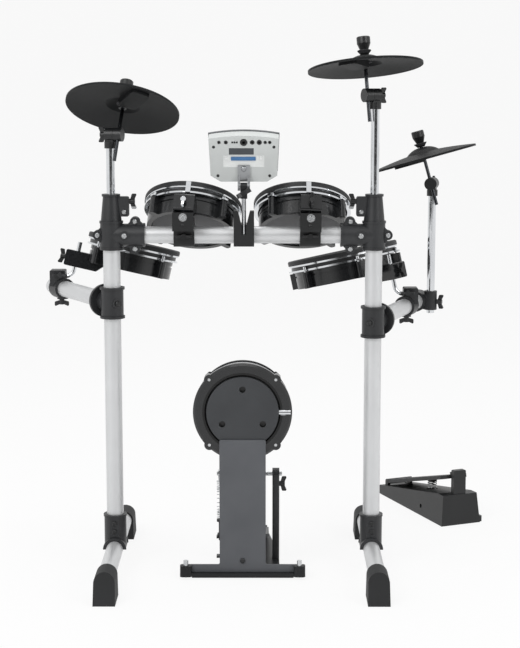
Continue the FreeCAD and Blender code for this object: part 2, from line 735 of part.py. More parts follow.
def pad(spec, diameter, lugs, under, tab):
    """Shell, hoop and head of a pad on its rod holder, placed in the kit."""
    holder_at = spec["holder"]
    angles = [holder_at + 180 / lugs + index * 360 / lugs for index in range(lugs)]
    holder, wing = rod_holder(diameter, under)
    shell = joined([pad_shell(diameter, angles), around(holder, holder_at)])
    shell_solids = [shell, around(wing, holder_at), trigger()]
    place = tilted(spec)
    groups = [shell_solids, pad_hoop(diameter, angles, holder_at if tab else None), pad_head(diameter)]
    return [[placed(solid, place) for solid in group] for group in groups]


def holder_line(spec, diameter):
    """The L-rod's leg in the holder: its point at a height in the pad's frame."""
    turn = math.radians(spec["holder"])
    reach = holder_radius(diameter)
    place = tilted(spec)

    def at(height):
        return place.multVec(Vector(reach * math.cos(turn), reach * math.sin(turn), height))

    return at


def tom(spec):
    """A crossbar tom: pad, rod and the clamp that turns on the crossbar."""
    clamp_x = spec["clamp"]
    line = holder_line(spec, PAD_8)
    holder_low = -PAD_DEPTH - HOLDER_DROP
    nose_top = holder_low - NOSE_GAP
    rod_top = line(holder_low + HOLDER_H + L_ROD_PROUD / 4)
    rod_low = line(nose_top - NOSE_H + SKIN_GAP)
    wall = TUBE_D / 2 + TOM_CLAMP_WALL
    x = (clamp_x - TOM_CLAMP_W / 2, clamp_x + TOM_CLAMP_W / 2)
    sleeve = box(x, (RACK_Y - wall, RACK_Y + wall), (CROSSBAR_Z - wall, CROSSBAR_Z + wall))
    sleeve = rounded(sleeve, TOM_CLAMP_WALL, Vector(1, 0, 0))
    lean = math.radians(spec["tilt"])
    slope = Vector(0, -math.cos(lean), math.sin(lean))
    reach = L_ROD_D + BOLT_BITE
    heel = line(nose_top).add(slope * -reach)
    tip = line(nose_top).add(slope * reach)
    back_z = CROSSBAR_Z + wall / 2
    front_y = tip.y
    nose = prism([
        Vector(x[0], front_y, tip.z), Vector(x[0], heel.y, heel.z), Vector(x[0], RACK_Y, heel.z),
        Vector(x[0], RACK_Y, back_z), Vector(x[0], RACK_Y - wall + TOM_CLAMP_WALL / 2, back_z),
        Vector(x[0], front_y, rod_low.z - L_ROD_D),
    ], Vector(TOM_CLAMP_W, 0, 0))
    wing_seat = Vector(clamp_x, RACK_Y - wall, CROSSBAR_Z)
    rod_seat = Vector(clamp_x, front_y, tip.z - BOLT_HEAD_D)
    ends = [Vector(side, RACK_Y, CROSSBAR_Z) for side in x]
    cuts = [
        cylinder(TUBE_D + 2 * RUN_GAP, ends[0], ends[1]),
        cylinder(L_ROD_D + 2 * SEAT_GAP, rod_low, rod_top),
        cylinder(BOLT_SHANK_D + 2 * SEAT_GAP, wing_seat, wing_seat.add(BACKWARD * 2 * TOM_CLAMP_WALL)),
        bolt_hole(rod_seat, BACKWARD),
    ]
    clamp = joined([sleeve, nose]).cut(cuts)
    wing = wing_bolt(wing_seat, BACKWARD, Vector(1, 0, 0))
    wing = wing.cut(cylinder(TUBE_D + 2 * RUN_GAP + 2 * SKIN_GAP, ends[0], ends[1]))
    rod_bolt = bolt(rod_seat, BACKWARD).cut(cylinder(L_ROD_D + 2 * SKIN_GAP, rod_low, rod_top))
    clamp_solids = [clamp, wing, rod_bolt, cylinder(L_ROD_D, rod_low, rod_top)]
    return [clamp_solids] + pad(spec, PAD_8, LUGS_8, 0, True)


def cymbal_pad(sensor_turn):
    """A cymbal pad about Z: its hole's lower edge is at the origin."""
    hole = CYMBAL_HOLE_D / 2
    flat = FELT_SEAT_D / 2 + ROCK_GAP
    bell = BELL_D / 2
    rim = CYMBAL_D / 2
    crown = CYMBAL_THICK
    foot = crown - BELL_H
    edge = foot - BOW_DROP
    bell_mid = Vector((flat + bell) / 2, 0, foot + BELL_H * BELL_FULLNESS)
    bow_mid = Vector((bell + rim) / 2, 0, foot - BOW_DROP * BOW_FULLNESS)
    down = Vector(0, 0, -CYMBAL_THICK)
    under = Vector(0, 0, -CYMBAL_EDGE)
    points = [Vector(hole, 0, crown), Vector(flat, 0, crown), Vector(bell, 0, foot), Vector(rim, 0, edge)]
    wire = Part.Wire([
        Part.LineSegment(points[0], points[1]).toShape(),
        Part.Arc(points[1], bell_mid, points[2]).toShape(),
        Part.Arc(points[2], bow_mid, points[3]).toShape(),
        Part.LineSegment(points[3], points[3].add(under)).toShape(),
        Part.Arc(points[3].add(under), bow_mid.add(down), points[2].add(down)).toShape(),
        Part.Arc(points[2].add(down), bell_mid.add(down), points[1].add(down)).toShape(),
        Part.LineSegment(points[1].add(down), points[0].add(down)).toShape(),
        Part.LineSegment(points[0].add(down), points[0]).toShape(),
    ])
    disc = Part.Face(wire).revolve(Vector(0, 0, 0), Vector(0, 0, 1), 360)
    lid = [points[3], Vector(rim, 0, BELL_D), Vector(hole, 0, BELL_D), points[0]]
    over = Part.Wire(wire.Edges[:3] + Part.makePolygon(lid).Edges)
    over = Part.Face(over).revolve(Vector(0, 0, 0), Vector(0, 0, 1), 360)
    sensor_x = (SENSOR_AT, SENSOR_AT + SENSOR_LENGTH)
    sensor = box(sensor_x, (-SENSOR_W / 2, SENSOR_W / 2), (foot - CYMBAL_THICK - SENSOR_H, crown))
    sensor = rounded(sensor, SENSOR_W / 4, Vector(0, 0, 1)).cut(over)
    return joined([disc, around(sensor, sensor_turn)])


def cymbal_stand(spec):
    """Pole with the fixed tilter half, tilter with rod and nut, and the cymbal."""
    foot = spec["foot"]
    centre = Vector(foot.x, foot.y, spec["tilter_z"])
    side = spec["side"]
    half = TILTER_THICK / 2
    swing = Placement(centre, Rotation(Vector(0, 0, 1), spec["turn"]))
    outward = Vector(side, 0, 0)
    fixed_disc = cylinder(2 * TILTER_R, outward * -half, outward * half)
    socket_low = Vector(0, 0, -TILTER_R - SOCKET_H / 2)
    socket = cylinder(SOCKET_D, socket_low, Vector(0, 0, -TILTER_R - SKIN_GAP))
    neck = box((-half, half), (-POLE_D / 2, POLE_D / 2), (-TILTER_R - SEAT_GAP - SKIN_GAP, 0))
    pole_top = Vector(0, 0, -TILTER_R)
    pole_bore = cylinder(POLE_D + 2 * SEAT_GAP, socket_low, pole_top)
    pin = cylinder(BOLT_SHANK_D, outward * (half - PIN_BITE), outward * (half + TILTER_GAP + PIN_BITE))
    wing_seat = outward * -half
    fixed = joined([fixed_disc, socket, neck]).cut([pole_bore, bolt_hole(wing_seat, outward)])
    fixed = joined([fixed, pin])
    wing = wing_bolt(wing_seat, outward, Vector(0, 0, 1))
    pole = cylinder(POLE_D, foot, centre.add(pole_top))
    rod_x = half + TILTER_GAP + half
    lean = Placement(outward * rod_x, Rotation(Vector(1, 0, 0), -spec["tilt"]))
    low, high = spec["rod"]
    seat = spec["seat"]
    rod = cylinder(ROD_D, Vector(0, 0, low), Vector(0, 0, high))
    carrier = cylinder(2 * TILTER_R, Vector(-half, 0, 0), Vector(half, 0, 0))
    pin_hole = cylinder(BOLT_SHANK_D + 2 * RUN_GAP, outward * -half, outward * (PIN_BITE + SKIN_GAP - half))
    rod_bore = cylinder(ROD_D + 2 * SEAT_GAP, Vector(0, 0, low), Vector(0, 0, high))
    carrier = carrier.cut([pin_hole, rod_bore])
    felt_top = seat - ROCK_GAP
    nut_low = seat + CYMBAL_THICK + ROCK_GAP
    felt = Part.makeCone(FELT_D / 2, FELT_SEAT_D / 2, FELT_H, Vector(0, 0, felt_top - FELT_H))
    stop = cylinder(FELT_SEAT_D, Vector(0, 0, felt_top - 2 * FELT_H), Vector(0, 0, felt_top - FELT_H))
    top_felt = Part.makeCone(FELT_SEAT_D / 2, FELT_D / 2, FELT_H, Vector(0, 0, nut_low))
    nut_seat = Vector(0, 0, nut_low + FELT_H)
    nut = lathe([
        (0, 0), (FELT_SEAT_D / 2, 0), (KNOB_WAIST_D / 2, KNOB_H / 4), (KNOB_D / 2, KNOB_H / 2),
        (KNOB_D / 2, KNOB_H - KNOB_EDGE), (KNOB_D / 2 - KNOB_EDGE, KNOB_H), (0, KNOB_H),
    ]).translated(nut_seat)
    loose = [piece.cut(rod_bore) for piece in (joined([felt, stop]), top_felt, nut)]
    tilter = [carrier, rod] + loose
    cymbal = placed(cymbal_pad(spec["sensor_turn"]), Placement(Vector(0, 0, seat), Rotation()))
    whole = swing.multiply(lean)
    fixed_solids = [pole] + [placed(solid, swing) for solid in (fixed, wing)]
    return [fixed_solids, [placed(solid, whole) for solid in tilter], [placed(cymbal, whole)]]


def arm_frame(spec):
    """The frame of a side arm: at its upright's axis, with +Y along the arm."""
    x = math.copysign(UPRIGHT_X, -spec["turn"])
    return Placement(Vector(x, RACK_Y, spec["z"]), Rotation(Vector(0, 0, 1), spec["turn"]))


def arm_spot(spec, offset):
    """A place that a side arm carries: its offset is from the outer end of the arm's tube."""
    return arm_frame(spec).multVec(Vector(offset.x, spec["length"] + offset.y, offset.z))


FLOOR_TOM["centre"] = arm_spot(LEFT_ARM, FLOOR_TOM["from_arm"])
SNARE["centre"] = arm_spot(RIGHT_ARM, SNARE["from_arm"])
HIHAT["foot"] = arm_spot(RIGHT_ARM, HIHAT["from_arm"])


def arm_tee(spec):
    """The T-clamp that turns on the upright, with the arm's socket and its bolts."""
    half = T_SLEEVE_H / 2
    low = Vector(0, 0, -half)
    high = Vector(0, 0, half)
    rim = Vector(0, 0, RING_H)
    rim_d = FIT_D + 4 * RING_PROUD
    socket_end = Vector(0, T_SOCKET, 0)
    plate = Vector(0, T_FLANGE_AT, 0)
    plate_end = Vector(0, T_FLANGE_AT + T_FLANGE_H, 0)
    start = Vector(0, TUBE_D / 2 + FIT_WALL, 0)
    boss = Vector(0, -FIT_D / 2 - RING_PROUD, 0)
    bolt_z = FIT_D / 2 + BOLT_HEAD_D / 2 + SKIN_GAP
    seats = [plate_end.add(Vector(0, 0, side * bolt_z)) for side in (-1, 1)]
    solids = [
        cylinder(FIT_D, low, high), cylinder(rim_d, low, low.add(rim)),
        cylinder(rim_d, high.sub(rim), high),
        cylinder(FIT_D - 2 * RING_PROUD, Vector(0, 0, 0), socket_end),
        cylinder(2 * T_FLANGE_R, plate, plate_end), cylinder(2 * EAR_R, Vector(0, 0, 0), boss),
    ]
    cuts = [
        cylinder(TUBE_D + 2 * RUN_GAP, low, high), cylinder(TUBE_BORE, start, socket_end),
        cylinder(BOLT_SHANK_D + 2 * SEAT_GAP, boss, boss.add(BACKWARD * (FIT_WALL - SKIN_GAP))),
    ]
    cuts += [bolt_hole(seat, FORWARD) for seat in seats]
    front = bolt(boss, BACKWARD).cut(cylinder(TUBE_D + 2 * FIT_WALL / 3, low, high))
    place = arm_frame(spec)
    solids = [joined(solids).cut(cuts), front] + [bolt(seat, FORWARD) for seat in seats]
    return [placed(solid, place) for solid in solids]


def arm_tube(spec):
    start = Vector(0, TUBE_D / 2 + FIT_WALL + BUTT_GAP, 0)
    return placed(tube(TUBE_D, TUBE_WALL, start, Vector(0, spec["length"], 0)), arm_frame(spec))


def side_pad(arm, spec, diameter, lugs):
    """A pad on a side arm: its rod clamp on the arm, its L-rod and the pad itself."""
    line = holder_line(spec, diameter)
    up = tilted(spec).Rotation.multVec(Vector(0, 0, 1))
    rod_z = arm["z"] + ROD_RISE
    on_axis = line(0)
    corner = on_axis.sub(up * ((on_axis.z - rod_z) / up.z))
    along = (corner.y - RACK_Y) / math.cos(math.radians(arm["turn"]))
    place = arm_frame(arm)
    centre = place.multVec(Vector(0, along, 0))
    half = Vector(0, RING_W / 2, 0)
    ring_ends = [place.multVec(Vector(0, along, 0).add(half * side)) for side in (-1, 1)]
    outward = math.copysign(1, centre.x)
    rod_start = Vector(centre.x + outward * CLAMP_BLOCK_LENGTH / 2, corner.y, rod_z)
    rod_top = line(HOLDER_H - HOLDER_DROP - PAD_DEPTH + L_ROD_PROUD)
    rod = bent_rod(L_ROD_D, rod_start, corner, rod_top, L_ROD_BEND)
    bend_reach = L_ROD_BEND / math.tan(half_corner(rod_start, corner, rod_top))
    straight = corner.x + outward * (bend_reach + SKIN_GAP)
    block = box(
        sorted((straight, rod_start.x)),
        (corner.y - CLAMP_BLOCK_W / 2, corner.y + CLAMP_BLOCK_W / 2),
        (arm["z"] + FIT_WALL, rod_z + L_ROD_D / 2 + CLAMP_BLOCK_WALL),
    )
    rod_bore = cylinder(L_ROD_D + 2 * RUN_GAP, rod_start, corner)
    seats = [
        (Vector(centre.x, corner.y - CLAMP_BLOCK_W / 2, rod_z + L_ROD_D / 2), BACKWARD),
        (Vector(centre.x, centre.y, arm["z"] - FIT_D / 2), Vector(0, 0, 1)),
    ]
    foot = cylinder(2 * EAR_R, centre, seats[1][0].sub(Vector(0, 0, RING_PROUD)))
    seats[1] = (seats[1][0].sub(Vector(0, 0, RING_PROUD)), seats[1][1])
    block = rounded(block, CLAMP_BLOCK_WALL / 3, BACKWARD, lambda middle: middle.z > rod_z)
    body = joined([cylinder(FIT_D, ring_ends[0], ring_ends[1]), block, foot])
    bite = FIT_WALL
    bore_ends = [end * 2 - centre for end in ring_ends]
    cuts = [cylinder(TUBE_BORE, bore_ends[0], bore_ends[1]), rod_bore]
    cuts += [cylinder(BOLT_SHANK_D + 2 * SEAT_GAP, seat, seat.add(inward * bite)) for seat, inward in seats]
    wings = []
    for seat, inward in seats:
        stop = seat.add(inward * (bite - SKIN_GAP))
        deeper = cylinder(2 * BOLT_SHANK_D, stop, seat.add(inward * 2 * BOLT_BITE))
        wings.append(wing_bolt(seat, inward, Vector(1, 0, 0)).cut(deeper))
    return [body.cut(cuts)] + wings, rod, pad(spec, diameter, lugs, HOLDER_UNDER, False)


def pole_clamp(arm, pole):
    """The clamp on the right arm that holds the hi-hat pole, with its wing bolt."""
    place = arm_frame(arm)
    local = place.inverse().multVec(Vector(pole.x, pole.y, arm["z"]))
    half = RING_W / 2
    ring = cylinder(FIT_D, Vector(0, local.y - half, 0), Vector(0, local.y + half, 0))
    sleeve_d = POLE_D + 2 * FIT_WALL
    low = Vector(local.x, local.y, -RING_W / 2)
    high = Vector(local.x, local.y, RING_W / 2 + FIT_WALL)
    bridge_z = half - RING_PROUD
    bridge = box(
        (0, local.x), (local.y - sleeve_d / 2, local.y + sleeve_d / 2), (-bridge_z, bridge_z))
    seat = Vector(local.x + sleeve_d / 2, local.y, 0)
    inward = Vector(-1, 0, 0)
    cuts = [
        cylinder(TUBE_BORE, Vector(0, local.y - 2 * half, 0), Vector(0, local.y + 2 * half, 0)),
        cylinder(POLE_D + 2 * RUN_GAP, low, high),
        cylinder(BOLT_SHANK_D + 2 * SEAT_GAP, seat, seat.add(inward * FIT_WALL)),
    ]
    body = joined([ring, bridge, cylinder(sleeve_d, low, high)]).cut(cuts)
    stop = seat.add(inward * (FIT_WALL - SKIN_GAP))
    deeper = cylinder(2 * BOLT_SHANK_D, stop, seat.add(inward * 2 * FIT_WALL))
    wing = wing_bolt(seat, inward, Vector(0, 0, 1)).cut(deeper)
    return [placed(body, place), placed(wing, place)]


def pads_and_cymbals():
    """Nodes of the crossbar toms, the side arms with their pads, and the cymbals."""
    found = {}
    for name, spec in (("left_tom", LEFT_TOM), ("right_tom", RIGHT_TOM)):
        for piece, solids in zip(("clamp", "shell", "hoop", "head"), tom(spec)):
            found[name + "_" + piece] = solids
    for name, spec in (("ride", RIDE), ("crash", CRASH), ("hihat", HIHAT)):
        for piece, solids in zip(("pole", "tilter", "cymbal"), cymbal_stand(spec)):
            found[name + "_" + piece] = solids
    sides = (
        ("left_arm", LEFT_ARM, "floor_tom", FLOOR_TOM, PAD_8, LUGS_8),
        ("right_arm", RIGHT_ARM, "snare", SNARE, PAD_10, LUGS_10),
    )
    for arm_name, arm, pad_name, spec, diameter, lugs in sides:
        clamp, rod, groups = side_pad(arm, spec, diameter, lugs)
        found[arm_name + "_tube"] = [arm_tube(arm)]
        found[arm_name + "_clamps"] = arm_tee(arm) + clamp
        found[pad_name + "_rod"] = [rod]
        for piece, solids in zip(("shell", "hoop", "head"), groups):
            found[pad_name + "_" + piece] = solids
    found["right_arm_clamps"] += pole_clamp(RIGHT_ARM, HIHAT["foot"])
    return found


def kick_stand():
    """Sheet steel stand, base bar with spikes, and the kick pad on its back disc."""
    back = SHEET_FRONT + SHEET
    half = STAND_W / 2
    plate_x = KICK_PLATE_W / 2
    outline = [
        (-half, SHEET_LOW), (half, SHEET_LOW), (half, BAR_TOP), (plate_x, BAR_TOP),
        (plate_x, KICK_PLATE_TOP), (-plate_x, KICK_PLATE_TOP), (-plate_x, BAR_TOP), (-half, BAR_TOP),
    ]
    sheet = prism([Vector(x, SHEET_FRONT, z) for x, z in outline], Vector(0, SHEET, 0))
    sheet = rounded(sheet, SHEET, Vector(0, 1, 0))
    end_x = half - END_BLOCK_W
    bar = box((-half, half), (back, back + BAR_DEPTH), (BAR_LOW, RAIL_TOP))
    lug_x = (-TONGUE_W / 2, TONGUE_W / 2)
    lug = box(lug_x, (back, back + FOOT_LUG_DEPTH), (BAR_LOW, FOOT_BOLT_Z + BOLT_HEAD_D))
    blocks = []
    for side in (-1, 1):
        x = sorted((side * end_x, side * half))
        block = box(x, (END_BLOCK_FRONT, SHEET_FRONT), (BAR_LOW, BAR_TOP))
        front = SHEET_FRONT - SEAT_GAP
        blocks.append(rounded(block, END_BLOCK_W / 4, Vector(0, 0, 1), lambda middle: middle.y < front))
    under = box((-half, half), (END_BLOCK_FRONT + SHEET, back + BAR_DEPTH), (BAR_LOW, SHEET_LOW))
    tongue_z = BASE_PLATE_H + SEAT_GAP
    tongue_y = (back + BAR_DEPTH, back + 2 * BAR_DEPTH)
    tongue = box(lug_x, tongue_y, (tongue_z, tongue_z + TONGUE_H))
    spike_y = (END_BLOCK_FRONT + SHEET_FRONT) / 2
    spikes = []
    holes = []
    for side in (-1, 1):
        foot = Vector(side * (half - END_BLOCK_W / 2), spike_y, BAR_LOW / 2)
        seat = Vector(foot.x, foot.y, BAR_TOP)
        head = cylinder(SPIKE_HEAD_D, seat, seat.add(Vector(0, 0, SPIKE_RISE)))
        point = Part.makeCone(SPIKE_TIP_D / 2, SPIKE_D / 2, BAR_LOW / 2, foot)
        spikes.append(joined([point, cylinder(SPIKE_D, foot.add(Vector(0, 0, BAR_LOW / 2)), seat), head]))
        holes.append(cylinder(SPIKE_D + 2 * SEAT_GAP, Vector(foot.x, foot.y, 0), seat))
    base = joined([bar, lug, under, tongue] + blocks).cut(holes)
    strip = box((-end_x, end_x), (SHEET_FRONT, back + BAR_DEPTH), (0, BAR_LOW))
    foot_bolt = Vector(0, SHEET_FRONT, FOOT_BOLT_Z)
    sheet = sheet.cut(cylinder(BOLT_SHANK_D + 2 * SEAT_GAP, foot_bolt, foot_bolt.add(BACKWARD * SHEET)))
    base = base.cut(bolt_hole(foot_bolt, BACKWARD))
    centre = Vector(0, back + PAD_DEPTH + BACK_DISC_PROUD, KICK_Z)
    place = Placement(centre, Rotation(Vector(1, 0, 0), -90))
    angles = [(index + 0.5) * 360 / KICK_LUGS for index in range(KICK_LUGS)]
    panel_z = BASE_RECESS - PAD_DEPTH
    disc = cylinder(BACK_DISC_D, Vector(0, 0, -PAD_DEPTH - BACK_DISC_PROUD), Vector(0, 0, panel_z))
    screws = []
    for index in range(BACK_HOLES):
        turn = math.pi / 2 + index * 2 * math.pi / BACK_HOLES
        spot = Vector(BACK_HOLE_R * math.cos(turn), -BACK_HOLE_R * math.sin(turn), panel_z)
        screws.append(cylinder(BACK_HOLE_D, spot, spot.sub(Vector(0, 0, BASE_RECESS + BACK_DISC_PROUD))))
    wall_r = PAD_KICK / 2 - SHELL_INSET
    ring = lathe([
        (wall_r - SHELL_WALL / 2, -PAD_DEPTH), (BACK_RING_R - BACK_RING_H / 3, -PAD_DEPTH),
        (BACK_RING_R, BACK_RING_H / 3 - PAD_DEPTH), (BACK_RING_R, BACK_RING_H - PAD_DEPTH),
        (wall_r - SHELL_WALL / 2, BACK_RING_H - PAD_DEPTH),
    ])
    ear_r = tension_radius(PAD_KICK)
    boss = cylinder(KICK_EAR_D, Vector(ear_r, 0, -PAD_DEPTH), Vector(ear_r, 0, BACK_RING_H - PAD_DEPTH))
    jack_z = JACK_D / 4 - PAD_DEPTH
    jack_r = BACK_DISC_D / 2 + SKIN_GAP
    jack = cylinder(JACK_D, Vector(jack_r, 0, jack_z), Vector(jack_r + JACK_LENGTH, 0, jack_z))
    shell = joined([pad_shell(PAD_KICK, angles), ring, jack] + [around(boss, angle) for angle in angles])
    groups = [[shell, disc.cut(screws), trigger()], pad_hoop(PAD_KICK, angles, None), pad_head(PAD_KICK)]
    found = {"kick_plate": [sheet], "kick_base_bar": [base]}
    for name, solids in zip(("kick_shell", "kick_hoop", "kick_head"), groups):
        found[name] = [placed(solid, place) for solid in solids]
    return found, strip, spikes + [bolt(foot_bolt, BACKWARD)]


def helix_spring(spring, low, high):
    """A coil spring on the line from low to high, as one tube on biarcs of a quarter turn."""
    wire = spring["wire"]
    radius = (spring["d"] - wire) / 2
    rise = high.z - low.z
    turns = spring["turns"]
    quarters = 4 * turns
    margin = wire / 2 + SKIN_GAP
    climb = rise - 2 * margin

    def at(quarter):
        turn = quarter * math.pi / 2
        lift = margin + climb * quarter / quarters
        return low.add(Vector(radius * math.cos(turn), radius * math.sin(turn), lift))

    slope = climb / (2 * math.pi * turns)

    def heading(quarter):
        turn = quarter * math.pi / 2
        return Vector(-radius * math.sin(turn), radius * math.cos(turn), slope).normalize()

    edges = []
    for quarter in range(quarters):
        edges += biarc(at(quarter), heading(quarter), at(quarter + 1), heading(quarter + 1))
    start = at(0).sub(heading(0) * wire)
    end = at(quarters).add(heading(quarters) * wire)
    edges = [Part.LineSegment(start, at(0)).toShape()] + edges
    edges.append(Part.LineSegment(at(quarters), end).toShape())
    section = Part.Wire(Part.makeCircle(wire / 2, start, heading(0)))
    path = Part.Wire(edges)
    spots = path.discretize(Number=GAP_POINTS * turns)
    gaps = [first.distanceToPoint(second) - wire
            for index, first in enumerate(spots) for second in spots[index + GAP_POINTS // 2:]]
    print("least spring gap", round(min(gaps), 2))
    return path.makePipeShell([section], True, False)


def biarc(start, start_way, end, end_way):
    """Two arcs that join two points and meet both headings."""
    chord = end.sub(start)
    ways = start_way.add(end_way)
    square = ways.dot(ways) - 4
    linear = -2 * chord.dot(ways)
    reach = (-linear - math.sqrt(linear * linear - 4 * square * chord.dot(chord))) / (2 * square)
    if reach < 0:
        reach = (-linear + math.sqrt(linear * linear - 4 * square * chord.dot(chord))) / (2 * square)
    first = start.add(start_way * reach)
    second = end.sub(end_way * reach)
    middle = first.add(second) * 0.5
    return [arc_by_corner(start, first, middle), arc_by_corner(middle, second, end)]


def arc_by_corner(start, corner, end):
    """The arc that leaves start and reaches end along the lines to their corner."""
    chord_mid = start.add(end) * 0.5
    half = end.sub(start).Length / 2
    turn = math.acos(half / corner.sub(start).Length)
    bulge = corner.sub(chord_mid).normalize() * (half * math.tan(turn / 2))
    return Part.Arc(start, chord_mid.add(bulge), end).toShape()


def chain(pins, first):
    """Side plates and pins of a roller chain through a row of pin places."""
    wide = Vector(CHAIN_PLATE, 0, 0)
    reach = Vector(CHAIN_OUTER + CHAIN_PLATE, 0, 0)
    pieces = []
    for index in range(len(pins) - 1):
        offset = CHAIN_OUTER if (first + index) % 2 else CHAIN_INNER
        ends = pins[index:index + 2]
        edge = wide.cross(ends[1].sub(ends[0])).normalize() * (CHAIN_W / 3)
        for x in (offset, -offset - CHAIN_PLATE):
            low, high = [pin.add(Vector(x, 0, 0)) for pin in ends]
            pieces.append(cylinder(CHAIN_W, low, low.add(wide)))
            pieces.append(cylinder(CHAIN_W, high, high.add(wide)))
            pieces.append(prism([low.add(edge), high.add(edge), high.sub(edge), low.sub(edge)], wide))
    for pin in pins:
        pieces.append(cylinder(CHAIN_W / 2, pin.sub(reach), pin.add(reach)))
    return joined(pieces)


def treadle(width, length, over, thick):
    """A ribbed footboard along -Y from its heel knuckle, with room for the hinge ears."""
    half = width / 2
    board = box((-half, half), (-length - over, 0), (-thick / 2, thick / 2))
    board = rounded(board, TOE_ROUND, Vector(0, 0, 1), lambda middle: middle.y < -length)
    for row in range(TREAD_ROWS):
        y = -TREAD_START - row * TREAD_PITCH
        board = board.cut(box((-width / 3, width / 3), (y, y + TREAD_PITCH / 3), (thick / 4, thick)))
    knuckle = cylinder(KNUCKLE_D, Vector(-KNUCKLE_HALF, 0, 0), Vector(KNUCKLE_HALF, 0, 0))
    room = box((-width, width), (-KNUCKLE_D / 2 - HEEL_ROOM, KNUCKLE_D), (-KNUCKLE_D, KNUCKLE_D))
    room = room.cut(box((-KNUCKLE_HALF, KNUCKLE_HALF), (-length, length), (-KNUCKLE_D, KNUCKLE_D)))
    pin = cylinder(HEEL_PIN_D + 2 * RUN_GAP, Vector(-width, 0, 0), Vector(width, 0, 0))
    return joined([board.cut(room), knuckle]).cut(pin)


def heel_hinge(heel, low_z):
    """Two hinge ears that stand up to a heel line along X, their pin hole and their pin."""
    near = KNUCKLE_HALF + SKIN_GAP
    far = near + HINGE_EAR
    half_d = KNUCKLE_D / 2
    ears = []
    for low, high in ((-far, -near), (near, far)):
        x = (heel.x + low, heel.x + high)
        ears.append(box(x, (heel.y - half_d, heel.y + half_d), (low_z, heel.z)))
        ears.append(cylinder(KNUCKLE_D, Vector(x[0], heel.y, heel.z), Vector(x[1], heel.y, heel.z)))
    half = Vector(far, 0, 0)
    hole = cylinder(HEEL_PIN_D + 2 * SEAT_GAP, heel.sub(half), heel.add(half))
    return ears, hole, cylinder(HEEL_PIN_D, heel.sub(half), heel.add(half))


